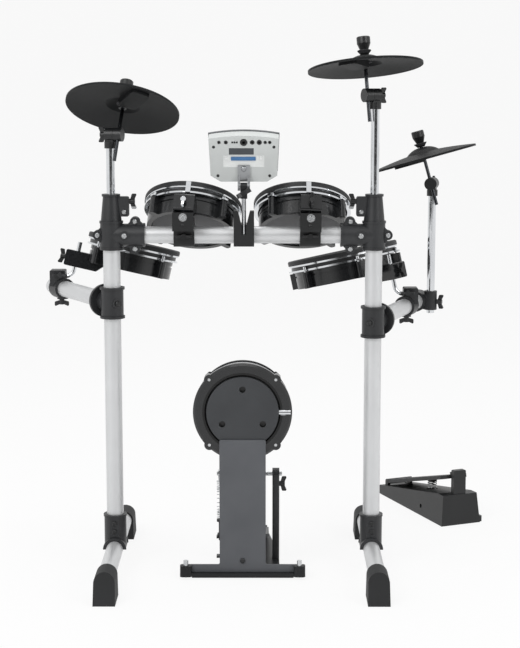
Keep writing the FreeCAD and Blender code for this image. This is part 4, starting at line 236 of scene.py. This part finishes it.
def round_axis(reach, x=0.0, y=0.0):
    """A mask that is 1 within a reach of the Z axis through a point, all in mm."""
    def mask_of(material, place):
        flat = put(material, "VectorMath", {"operation": "MULTIPLY"}, {0: place, 1: (1, 1, 0)})
        return near(reach, (x, y, 0))(material, flat.outputs[0])
    return mask_of


# Chrome plate: a mirror with the faintest waviness from the polished steel under it.
chrome = {"light": "#e3e5e7", "dark": "#d3d5d8", "metal": 1.0, "rough": (0.06, 0.14),
          "grain": 6.0, "depth": 0.0015}
nose_screws = {"left_tom": (-130, 6, 808), "right_tom": (150, 6, 806.4)}
rod_offset = 25.4
rod_reach = 5.6
bare_rod_low = -86.5
for name, screw in nose_screws.items():
    pad = pads[name]
    way = math.radians(pad["holder"])
    rod_r = pad["size"] / 2 + rod_offset
    shank = round_axis(rod_reach, rod_r * math.cos(way), rod_r * math.sin(way))
    rod = in_frame(pad, both(shank, above((0, 0, 1), bare_rod_low)))
    clamp_zones = [(rod, chrome), (near(screw_reach, screw), zinc)]
    dress(finish(name + "_clamp_nylon", black_nylon, clamp_zones), name + "_clamp")

# Pad shells: a deep cup with a stepped wall, four or six lugs and the rod's holder.
# Gloss ABS, moulded in one piece; the recessed base is a plain grey panel and the
# holder's wing bolt is chromed on the left tom and black on the others.
gloss_abs = {"light": "#1d1e20", "dark": "#131415", "metal": 0.0, "rough": (0.14, 0.24),
             "grain": 5.0, "depth": 0.012}
grey_panel = {"light": "#4d4e50", "dark": "#424345", "metal": 0.0, "rough": (0.45, 0.6),
              "grain": 0.9, "depth": 0.05}
wall_width = 14
panel_low = -60.5
wing_offset = 51.8
for name in ("left_tom", "right_tom", "floor_tom", "snare"):
    pad = pads[name]
    way = math.radians(pad["holder"])
    out = (math.cos(way), math.sin(way), 0)
    panel = both(round_axis(pad["size"] / 2 - wall_width), above((0, 0, 1), panel_low))
    wing = above(out, pad["size"] / 2 + wing_offset)
    wing_look = chrome if name == "left_tom" else black_nylon
    dress(finish(name + "_gloss_shell", gloss_abs, [
        (in_frame(pad, panel), grey_panel), (in_frame(pad, wing), wing_look)], IOR=1.53),
        name + "_shell")

# Hoops: a rolled steel channel round each pad, with a claw and a slotted tension rod
# at each lug. The two flanges are chromed, and the channel between them is painted black as painted shade,
# for the shadow inside it.
web_low = -15.8
web_high = -7.2
web_thick = 3.2
for name, pad in pads.items():
    channel = both(above((0, 0, 1), web_low), above((0, 0, -1), -web_high))
    # Painted shade: the web inside the channel is painted black for the shadow that falls there.
    painted_shade_web = both(channel, round_axis(pad["size"] / 2 + web_thick))
    dress(finish(name + "_chromed_hoop", {**chrome, "rough": (0.08, 0.16)},
                 [(in_frame(pad, painted_shade_web), black_nylon)]), name + "_hoop")

# Heads: two plies of woven polyester mesh, stretched over the shell by the hoop, and
# the soft rubber guard pressed on the hoop's upper edge. The weave shows as fine
# crossed threads, and the head turns down into its collar at the edge.


def spun(name, outline, closed=True, segments=128):
    """A mesh turned about Z from an outline of (radius, height) in mm."""
    mesh = bpy.data.meshes.new(name)
    rows = bmesh.new()
    rings = []
    for radius, height in outline:
        if radius < 0.001:
            rings.append([rows.verts.new((0, 0, height / 1000))] * segments)
            continue
        ring = []
        for step in range(segments):
            angle = 2 * math.pi * step / segments
            spot = (radius * math.cos(angle), radius * math.sin(angle), height)
            ring.append(rows.verts.new([c / 1000 for c in spot]))
        rings.append(ring)
    pairs = list(zip(rings, rings[1:]))
    if closed:
        pairs.append((rings[-1], rings[0]))
    for low, high in pairs:
        for step in range(segments):
            after = (step + 1) % segments
            corners = [low[step], low[after], high[after], high[step]]
            face = [c for at, c in enumerate(corners) if c not in corners[:at]]
            if len(face) > 2:
                rows.faces.new(face)
    bmesh.ops.recalc_face_normals(rows, faces=rows.faces[:])
    rows.to_mesh(mesh)
    rows.free()
    mesh.shade_smooth()
    mesh.set_sharp_from_angle(angle=math.radians(38))
    piece = bpy.data.objects.new(name, mesh)
    bpy.context.scene.collection.objects.link(piece)
    return piece


def set_in(piece, spot):
    """Puts a piece in a tilted frame: its centre in mm, its turns about X, Y, Z in degrees."""
    turn = Euler([math.radians(angle) for angle in spot["turn"]], "XYZ").to_matrix().to_4x4()
    piece.matrix_world = Matrix.Translation([c / 1000 for c in spot["centre"]]) @ turn


def arc(x, z, radius, start, end, steps=6):
    """Points of an arc in an outline, about (x, z), between two angles in degrees."""
    angles = [math.radians(start + (end - start) * at / steps) for at in range(steps + 1)]
    return [(x + radius * math.cos(a), z + radius * math.sin(a)) for a in angles]


def woven(pitch, depth):
    """A relief of threads crossing at a pitch in mm."""
    def relief(material, place):
        total = 0.0
        for way in ("X", "Y"):
            threads = put(material, "TexWave", {"bands_direction": way}, {
                "Vector": place, "Scale": math.pi / 10 / (pitch / 1000), "Distortion": 0.0})
            added = put(material, "Math", {"operation": "MULTIPLY_ADD"},
                        {0: threads.outputs["Fac"], 1: depth, 2: total})
            total = added.outputs[0]
        return total
    return relief


# Mesh cloth: pale and dull, with threads 0.5 mm apart drawn at 1.5 mm to show.
mesh_cloth = finish("woven_mesh_head", {
    "light": "#d3d4d2", "dark": "#c4c5c3", "metal": 0.0, "rough": (0.7, 0.85),
    "grain": 0.8, "depth": 0.04}, relief=woven(1.5, 0.12))
guard_rubber = finish("soft_guard_rubber", {**rubber, "light": "#1f2022", "dark": "#131415",
                                           "rough": (0.5, 0.66)})
collar_r = 2.6
guard_gap = 0.4
guard_width = 9
guard_low = -3
guard_high = 9
outer_r = 4
inner_r = 2.5
for name, pad in pads.items():
    radius = pad["size"] / 2
    body = "rack" if name == "kick" else name
    flat = [(0, 0)] + [(radius * share, 0) for share in (0.2, 0.4, 0.6, 0.8, 0.95)]
    collar = arc(radius - collar_r, -collar_r, collar_r, 90, 0)
    head = spun(name + "_mesh_head", flat + collar, closed=False)
    inner = radius + guard_gap
    outer = inner + guard_width
    outline = arc(outer - outer_r, guard_high - outer_r, outer_r, 0, 90)
    outline += arc(inner + inner_r, guard_high - inner_r, inner_r, 90, 180)
    guard = spun(name + "_rim_guard", outline + [(inner, guard_low), (outer, guard_low)])
    for piece, material in ((head, mesh_cloth), (guard, guard_rubber)):
        set_in(piece, pad)
        dress(material, piece.name)
        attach(piece, body)
        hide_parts(name + "_head")

# Side arms: a T-clamp on each upright, a short tube, and the clamps that hold the
# pad's rod and the hi-hat pole. Nylon again, closed by zinc bolts; the bent rods
# are solid steel, chromed.
dress(finish("chromed_rod", chrome), "floor_tom_rod", "snare_rod")
arm_bolts = {
    "left_arm_clamps": [(-278.9, 55.3, 611), (-314.7, 115.3, 580), (-314.7, 115.3, 642)],
    "right_arm_clamps": [(282.5, 53.6, 568), (308.7, 118.1, 537), (308.7, 118.1, 599)],
}
bolt_reach = 8.4
for name, (front, *sides) in arm_bolts.items():
    clamp_zones = [(near(bolt_reach, *sides), zinc), (near(bolt_reach, front), black_nylon)]
    dress(finish(name + "_nylon", nylon, clamp_zones), name)

# Cymbal stands: a chromed pole in its collar, with a pair of toothed discs on top
# that lock the cymbal's rod at its tilt. The discs are nylon, the rod is black chrome,
# and the cymbal is held between two pressed-felt washers under a turned knob.
stands = {
    "ride": {"top": (-292.5, 78, 985), "yaw": -15, "tilt": 27, "side": 1, "seat": 84},
    "crash": {"top": (292.5, 78, 1071), "yaw": 25, "tilt": 10.5, "side": -1, "seat": 82},
    "hihat": {"top": (455, 408, 856), "yaw": 75, "tilt": 16, "side": -1, "seat": 84},
}
# Pressed felt: soft grey-black, with fibres that break up the edge.
felt_look = {"light": "#3b3b3d", "dark": "#242426", "metal": 0.0, "rough": (0.9, 1.0),
             "grain": 1.2, "depth": 0.3}
felt = finish("pressed_felt", felt_look)
# Black chrome: the same mirror, dark as gunmetal.
black_chrome = {**chrome, "light": "#4b4d50", "dark": "#3c3e41", "rough": (0.12, 0.2)}
collar_drop = 30
disc_step = 19.5
tilter_rod_reach = 4.25
washer_bore = 4.3
washer_h = 10.3
washer_r = 14.2
washer_shoulder = 9.1
washer_neck = 8.2
washer_edge = 1.2
for name, stand in stands.items():
    collar_low = stand["top"][2] - collar_drop
    dress(finish(name + "_pole_chrome", chrome, [(above((0, 0, 1), collar_low), black_nylon)]),
          name + "_pole")
    yaw = math.radians(stand["yaw"])
    step = disc_step * stand["side"]
    x, y, z = stand["top"]
    stand["centre"] = (x + step * math.cos(yaw), y + step * math.sin(yaw), z)
    stand["turn"] = (-stand["tilt"], 0, stand["yaw"])
    rod = in_frame(stand, round_axis(tilter_rod_reach))
    dress(finish(name + "_tilter_nylon", black_nylon, [(rod, black_chrome)]), name + "_tilter")
    low = stand["seat"] - 0.6
    high = stand["seat"] + 7.1
    lower = [(washer_bore, low - washer_h)]
    lower += arc(washer_r, low - washer_shoulder, washer_edge, -90, 60)
    lower += arc(washer_neck, low - washer_edge, washer_edge, 45, 90)
    lower.append((washer_bore, low))
    upper = [(washer_bore, high), (washer_neck, high)]
    upper += arc(washer_r, high + washer_shoulder, washer_edge, -45, 90)
    upper.append((washer_bore, high + washer_h))
    for place, outline in (("lower", lower), ("upper", upper)):
        washer = spun(f"{name}_{place}_felt", outline, segments=64)
        set_in(washer, stand)
        dress(felt, washer.name)
        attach(washer, name + "_tilter")

# Cymbals: a disc of black rubber bonded on a moulded plate, with a raised bell and a
# bow turned in fine rings. The rubber is dull, and its rings show as a sheen.


def rings(piece, pitch, depth):
    """A relief of rings about a tilted piece's own axis, at a pitch in mm."""
    def height(material, place):
        flat = put(material, "VectorMath", {"operation": "MULTIPLY"}, {0: place, 1: (1, 1, 0)})
        away = put(material, "VectorMath", {"operation": "LENGTH"}, {0: flat.outputs[0]})
        phase = put(material, "Math", {"operation": "MULTIPLY"},
                    {0: away.outputs["Value"], 1: 2000 * math.pi / pitch})
        wave = put(material, "Math", {"operation": "SINE"}, {0: phase.outputs[0]})
        return put(material, "Math", {"operation": "MULTIPLY"},
                   {0: wave.outputs[0], 1: depth}).outputs[0]
    return in_frame(piece, height)


cymbal_rubber = {"light": "#1d1e1f", "dark": "#141516", "metal": 0.0, "rough": (0.46, 0.6),
                 "grain": 1.1, "depth": 0.05}
# Rings on the real bow are 1 mm apart; they are drawn at 2.5 mm to show.
for name, stand in stands.items():
    bell = in_frame(stand, round_axis(40))
    dress(finish(name + "_cymbal_rubber", cymbal_rubber,
                 [(bell, {**cymbal_rubber, "light": "#18191a", "dark": "#101112"})],
                 relief=rings(stand, 2.5, 0.05), **{"Specular IOR Level": 0.15}), name + "_cymbal")

# Kick stand: a bent steel plate on a wide foot, which carries the kick pad by its back.
# The plate and foot are powder coated charcoal; the pad's back is a convex gloss ring
# round a satin disc with three screw wells, with a trench between the two painted near black as painted
# shade.
powder_coat = {"light": "#54565a", "dark": "#4a4c50", "metal": 0.0, "rough": (0.42, 0.55),
               "grain": 0.7, "depth": 0.05}
dress(finish("charcoal_powder_coat", powder_coat), "kick_plate")
dress(finish("black_powder_coat", {**powder_coat, "light": "#1c1d1f", "dark": "#141516"},
             **{"Specular IOR Level": 0.3}), "kick_base_bar")
kick = pads["kick"]


def between(low, high):
    """A mask that is 1 inside a box given by two corners in mm."""
    def mask_of(material, place):
        middle = [(a + b) / 2000 for a, b in zip(low, high)]
        half = [(b - a) / 2000 for a, b in zip(low, high)]
        away = put(material, "VectorMath", {"operation": "SUBTRACT"}, {0: place, 1: middle})
        plain = put(material, "VectorMath", {"operation": "ABSOLUTE"}, {0: away.outputs[0]})
        past = put(material, "VectorMath", {"operation": "SUBTRACT"}, {0: plain.outputs[0], 1: half})
        sides = put(material, "SeparateXYZ", {}, {0: past.outputs[0]})
        most = put(material, "Math", {"operation": "MAXIMUM"}, {0: sides.outputs[0], 1: sides.outputs[1]})
        most = put(material, "Math", {"operation": "MAXIMUM"}, {0: most.outputs[0], 1: sides.outputs[2]})
        return put(material, "Math", {"operation": "LESS_THAN"}, {0: most.outputs[0], 1: 0.0}).outputs[0]
    return mask_of


back_depth = 54.5
well_ring = 52
ear_at = 73.6
ear_bolt_low = -62
disc = both(round_axis(80.4), above((0, 0, -1), back_depth))
painted_shade_trench = both(round_axis(89), above((0, 0, -1), back_depth))
kick_zones = [
    # Painted shade: the trench between the ring and the disc is painted near black for the shadow in it.
    (in_frame(kick, painted_shade_trench), {**black_nylon, "light": "#070708", "dark": "#040404", "rough": (0.7, 0.85)}),
    (in_frame(kick, disc), {**grey_panel, "light": "#343639", "dark": "#2b2d30"}),
]
for turn in (90, 210, 330):
    way = math.radians(turn)
    well = round_axis(7.2, well_ring * math.cos(way), -well_ring * math.sin(way))
    kick_zones.append((in_frame(kick, well), black_nylon))
ear_bolts = [(ear_at * x, ear_at * y, ear_bolt_low) for x in (-1, 1) for y in (-1, 1)]
kick_zones.append((in_frame(kick, near(3.2, *ear_bolts)), zinc))
jack_boxes = [((80.6, -5.6, -66), (95, 5.6, -53)), ((95, -5.6, -66), (107, 5.6, -62.1))]
for low, high in jack_boxes:
    kick_zones.append((in_frame(kick, between(low, high)), chrome))
dress(finish("kick_gloss_shell", gloss_abs, kick_zones, IOR=1.53), "kick_shell")

# Kick pedal: a footboard hinged at its heel pulls a roller chain round a wheel on the
# axle, and the axle swings the beater. Cast posts and board in black powder coat,
# with the axle, chain, spring and beater rod in bright plated steel.


def swept(name, spots, radius, around=10):
    """A closed round wire, in mm, through a row of spots."""
    mesh = bpy.data.meshes.new(name)
    rows = bmesh.new()
    rings_made = []
    for at, spot in enumerate(spots):
        ahead = (spots[min(at + 1, len(spots) - 1)] - spots[max(at - 1, 0)]).normalized()
        across = (0.0, 0.0, 1.0) if abs(ahead.z) < 0.9 else (1.0, 0.0, 0.0)
        side = ahead.cross(Vector(across)).normalized()
        up = side.cross(ahead)
        ring = []
        for step in range(around):
            angle = 2 * math.pi * step / around
            offset = side * math.cos(angle) + up * math.sin(angle)
            ring.append(rows.verts.new((spot + offset * radius) / 1000))
        rings_made.append(ring)
    for low, high in zip(rings_made, rings_made[1:]):
        for step in range(around):
            after = (step + 1) % around
            rows.faces.new([low[step], low[after], high[after], high[step]])
    rows.faces.new(rings_made[0][::-1])
    rows.faces.new(rings_made[-1])
    bmesh.ops.recalc_face_normals(rows, faces=rows.faces[:])
    rows.to_mesh(mesh)
    rows.free()
    mesh.shade_smooth()
    mesh.set_sharp_from_angle(angle=math.radians(50))
    piece = bpy.data.objects.new(name, mesh)
    bpy.context.scene.collection.objects.link(piece)
    return piece


def coil(name, low, high, across, wire, turns):
    """A wound spring between two spots in mm, with its end turns closed up."""
    steps = 28 * turns
    closing = 0.35
    spots = []
    for at in range(steps + 1):
        share = at / steps
        once = 2 * math.pi * share
        twice = 4 * math.pi * share
        eased = share + closing * math.sin(twice) / (4 * math.pi) - closing * math.sin(once) / (2 * math.pi)
        angle = 2 * math.pi * turns * share
        spots.append(Vector(low).lerp(Vector(high), eased)
                     + Vector((math.cos(angle), math.sin(angle), 0)) * (across - wire) / 2)
    return swept(name, spots, wire / 2)


black_cast = {**powder_coat, "light": "#2a2b2d", "dark": "#212224", "rough": (0.36, 0.5)}
dress(finish("black_cast_pedal", black_cast), "kick_pedal_base")
dress(finish("coated_footboard", {**powder_coat, "light": "#3d3f42", "dark": "#333538"}), "kick_footboard")
plated = finish("plated_steel", {**zinc, "rough": (0.16, 0.28)})
dress(plated, "kick_axle", "kick_beater")

# Beater: a block of hard white felt on the rod's end, with rounded rims.
axle_y = 125
axle_z = 206
beater_x = 14
beater_reach = 170
beater_lean = 40
block_r = 15.5
block_half = 13.5
rim_r = 7.8
block_end = 21.3
lean = math.radians(beater_lean)
beater_y = axle_y + beater_reach * math.sin(lean)
beater_z = axle_z + beater_reach * math.cos(lean)
outline = [(0, -block_end)] + arc(block_r, -block_half, rim_r, -90, 0)
outline += arc(block_r, block_half, rim_r, 0, 90) + [(0, block_end)]
beater = spun("kick_beater_felt", outline, closed=False, segments=72)
set_in(beater, {"centre": (beater_x, beater_y, beater_z), "turn": (90 - beater_lean, 0, 0)})
dress(finish("hard_white_felt", {**felt_look, "light": "#d8d6cf", "dark": "#bdbab2", "depth": 0.22}),
      beater.name)
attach(beater, "kick_axle")

# Chain: side plates with rounded ends on pins and rollers, hung from the wheel to the board's hook.
chain_low, chain_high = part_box("kick_chain")
chain_x = 14
chain_y = 95
plate_r = 3.5
plate_thick = 1.6
waist_share = 0.78
near_pitch = 13
rounds = {"pin": (1.75, 6.3), "roller": (3.0, 2.2)}
pin_low = chain_low.z * 1000 + plate_r
pin_high = chain_high.z * 1000 - plate_r
links = round((pin_high - pin_low) / near_pitch)
pitch = (pin_high - pin_low) / links
chain_mesh = bpy.data.meshes.new("kick_roller_chain")
rows = bmesh.new()
for link in range(links):
    foot = pin_low + link * pitch
    for offset in ((4.4, -6.0) if link % 2 else (2.4, -4.0)):
        outline = []
        for end, start in ((foot + pitch, 0), (foot, 180)):
            outline += [(chain_y + r, end + h) for r, h in arc(0, 0, plate_r, start, start + 180, 9)]
        waist = []
        for y, z in outline:
            share = waist_share if abs(z - foot - pitch / 2) < pitch / 2 - 0.5 else 1
            waist.append((chain_y + (y - chain_y) * share, z))
        faces = []
        for x in (chain_x + offset, chain_x + offset + plate_thick):
            faces.append([rows.verts.new((x / 1000, y / 1000, z / 1000)) for y, z in waist])
        rows.faces.new(faces[0])
        rows.faces.new(faces[1][::-1])
        for at in range(len(waist)):
            after = (at + 1) % len(waist)
            rows.faces.new([faces[0][at], faces[0][after], faces[1][after], faces[1][at]])
for pin in range(links + 1):
    for radius, reach in rounds.values():
        centre = (chain_x / 1000, chain_y / 1000, (pin_low + pin * pitch) / 1000)
        spot = Matrix.Translation(centre) @ Matrix.Rotation(math.pi / 2, 4, "Y")
        bmesh.ops.create_cone(rows, cap_ends=True, segments=20, radius1=radius / 1000, radius2=radius / 1000,
                              depth=2 * reach / 1000, matrix=spot)
bmesh.ops.recalc_face_normals(rows, faces=rows.faces[:])
rows.to_mesh(chain_mesh)
rows.free()
chain_mesh.shade_smooth()
chain_mesh.set_sharp_from_angle(angle=math.radians(35))
chain = bpy.data.objects.new("kick_roller_chain", chain_mesh)
bpy.context.scene.collection.objects.link(chain)
dress(plated, chain.name)
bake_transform(chain)
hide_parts("kick_chain")

# Return spring: music wire, wound cold and zinc plated, between the base's hanger and
# the axle's rocker.


def hung_spring(name, node, across, turns):
    """A spring in the place of a CAD node, from the rack up to the body that works it."""
    wire = 2.2
    inset = 1.2
    low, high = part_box(node)
    middle = (low + high) / 2
    low_end = Vector((middle.x * 1000, middle.y * 1000, low.z * 1000 + inset))
    high_end = Vector((middle.x * 1000, middle.y * 1000, high.z * 1000 - inset))
    spring = coil(name, low_end, high_end, across, wire, turns)
    dress(plated, spring.name)
    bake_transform(spring)
    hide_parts(node)


hung_spring("kick_return_spring", "kick_spring", across=15, turns=14)

# Hi-hat controller: a wedge of black ABS on the floor with a hinged treadle over a
# sensor and a spring. The treadle's ribs are moulded in; its pins are plated.
dress(finish("pedal_abs", {**nylon, "light": "#1b1c1d", "dark": "#121314"}), "hihat_pedal_base")
treadle = {**nylon, "light": "#232426", "dark": "#1a1b1c", "rough": (0.5, 0.64)}
dress(finish("treadle_abs", treadle), "hihat_footboard")
hung_spring("hihat_treadle_spring", "hihat_spring", across=24, turns=5)

# Sound module: a thin case of pale grey ABS with an arched top, on a bracket that tilts
# on a chromed rod. The back has a row of sockets, a trunk port and a bare rating plate;
# the drummer's side has a display, a dial, a knob and two keys.
module = {"centre": (3, 53, 872), "turn": (18, 0, 0)}

grey_abs = {"light": "#bec1c0", "dark": "#b2b5b4", "metal": 0.0, "rough": (0.4, 0.52),
            "grain": 0.8, "depth": 0.05}
dark_plate = {"light": "#3f4347", "dark": "#36393d", "metal": 0.0, "rough": (0.35, 0.5),
              "grain": 1.5, "depth": 0.02}
port_plate = {**grey_abs, "light": "#dcdedd", "dark": "#d0d2d1"}
case_zones = [
    (in_frame(module, between((-32.5, 8, 70.5), (22, 14, 85.5))), dark_plate),
    (in_frame(module, between((-45, 8, 41.5), (45, 13.6, 68.5))), port_plate),
    (in_frame(module, near(3.6, (-66, 13, 88), (66, 13, 88), (-57, 13, 21), (57, 13, 21))), black_nylon),
]
dress(finish("module_grey_abs", grey_abs, case_zones), "module_case")
port_blue = {"light": "#3f74a8", "dark": "#33618f", "metal": 0.0, "rough": (0.35, 0.5),
             "grain": 1.0, "depth": 0.02}
port = in_frame(module, between((-30, 0, 56), (28, 30, 66)))
posts = in_frame(module, near(4, (-39, 11, 55), (37.7, 11, 55), (-39, 11, 61), (37.7, 11, 61)))
dress(finish("module_sockets", black_nylon, [(port, port_blue), (posts, zinc)]), "module_jacks")
bracket = {**zinc, "light": "#a9abad", "dark": "#97999b", "rough": (0.3, 0.42)}
dress(finish("bracket_steel", bracket), "module_bracket")
rod = both(round_axis(5.3, 3, 53), above((0, 0, -1), -846))
dress(finish("module_clamp_nylon", black_nylon, [(rod, chrome)]), "module_clamp")
display = {"light": "#1d2a33", "dark": "#17222a", "metal": 0.0, "rough": (0.08, 0.14),
           "grain": 8.0, "depth": 0.004}
panel_abs = {**grey_abs, "light": "#4a4c50", "dark": "#3f4144"}
screen = in_frame(module, between((-31.5, 20, 72), (31.5, 60, 98)))
dress(finish("module_panel_abs", panel_abs, [(screen, display)]), "module_panel")
dress(finish("soft_touch_knob", {**rubber, "light": "#1e1f21", "dark": "#151617", "rough": (0.45, 0.58)}),
      "module_dial", "module_volume")
dress(finish("key_silicone", {**grey_abs, "light": "#d6d7d5", "dark": "#cbccca", "rough": (0.5, 0.62)}),
      "module_left_key", "module_right_key")

sweep_mesh = bpy.data.meshes.new("paper_sweep")
rows = bmesh.new()
front = -9.0
bend = 5.0
bend_r = 3
profile = [(front, 0.0), (bend, 0.0)]
for turn in range(10, 91, 10):
    way = math.radians(turn)
    profile.append((bend + bend_r * math.sin(way), bend_r - bend_r * math.cos(way)))
profile.append((8.0, 9.0))
edges = [[rows.verts.new((x, y, z - 0.0005)) for y, z in profile] for x in (-9.0, 9.0)]
for at in range(len(profile) - 1):
    rows.faces.new([edges[0][at], edges[1][at], edges[1][at + 1], edges[0][at + 1]])
rows.to_mesh(sweep_mesh)
rows.free()
sweep_mesh.shade_smooth()
sweep = bpy.data.objects.new("paper_sweep", sweep_mesh)
bpy.context.scene.collection.objects.link(sweep)
paper = bpy.data.materials.new("seamless_paper")
paper.use_nodes = True
paper.node_tree.nodes.clear()
rays = put(paper, "LightPath", {}, {})
seen = put(paper, "Math", {"operation": "MAXIMUM"}, {
    0: rays.outputs["Is Camera Ray"], 1: rays.outputs["Is Glossy Ray"]})
matt = put(paper, "BsdfDiffuse", {}, {"Color": linear("#f7f7f7")})
glow = put(paper, "Emission", {}, {"Color": linear("#fdfdfd"), "Strength": 1.0})
even = put(paper, "MixShader", {}, {0: 0.9, 1: matt.outputs[0], 2: glow.outputs[0]})
either = put(paper, "MixShader", {}, {0: seen.outputs[0], 1: matt.outputs[0], 2: even.outputs[0]})
put(paper, "OutputMaterial", {}, {"Surface": either.outputs[0]})
dress(paper, "paper_sweep")

world = bpy.data.worlds.new("studio")
bpy.context.scene.world = world
world.use_nodes = True
world.node_tree.nodes.clear()
rays = put(world, "LightPath", {}, {})
way = put(world, "TexCoord", {}, {}).outputs["Generated"]
ahead = put(world, "VectorMath", {"operation": "DOT_PRODUCT"}, {0: way, 1: (0.25, -0.97, 0.0)})
dim = put(world, "MapRange", {}, {"Value": ahead.outputs["Value"], "From Min": 0.6, "From Max": 0.9,
                                  "To Min": 1.0, "To Max": 0.06})
mirrored = put(world, "Math", {"operation": "MULTIPLY"}, {0: dim.outputs[0], 1: 0.95})
lit = put(world, "Mix", {}, {0: rays.outputs["Is Glossy Ray"], 2: 0.55, 3: mirrored.outputs[0]})
strength = put(world, "Mix", {}, {0: rays.outputs["Is Camera Ray"], 2: lit.outputs[0], 3: 0.95})
back = put(world, "Background", {}, {"Color": linear("#fbfbfb"), "Strength": strength.outputs[0]})
put(world, "OutputWorld", {}, {"Surface": back.outputs[0]})

lamps = {"key_softbox": ((-1.8, -2.6, 2.9), 1.8, 62), "fill_softbox": ((2.4, -2.2, 2.2), 1.6, 34),
         "top_softbox": ((0.0, 0.6, 3.4), 2.2, 44)}
for name, (spot, width, power) in lamps.items():
    light = bpy.data.lights.new(name, "AREA")
    light.shape = "SQUARE"
    light.size = width
    light.energy = power
    lamp = bpy.data.objects.new(name, light)
    lamp.location = spot
    lamp.rotation_euler = (Vector((0, 0.1, 0.6)) - Vector(spot)).to_track_quat("-Z", "Y").to_euler()
    bpy.context.scene.collection.objects.link(lamp)

lens = bpy.data.cameras.new("photo_lens")
lens.sensor_fit = "VERTICAL"
lens.sensor_height = 36
lens.lens = 89.9
camera = bpy.data.objects.new("photo_camera", lens)
camera.location = (0.047, -3.516, 1.114)
camera.rotation_euler = (math.radians(90 - 8.73), 0, math.radians(0.135))
bpy.context.scene.collection.objects.link(camera)
bpy.context.scene.camera = camera
bpy.context.scene.view_settings.view_transform = "Standard"
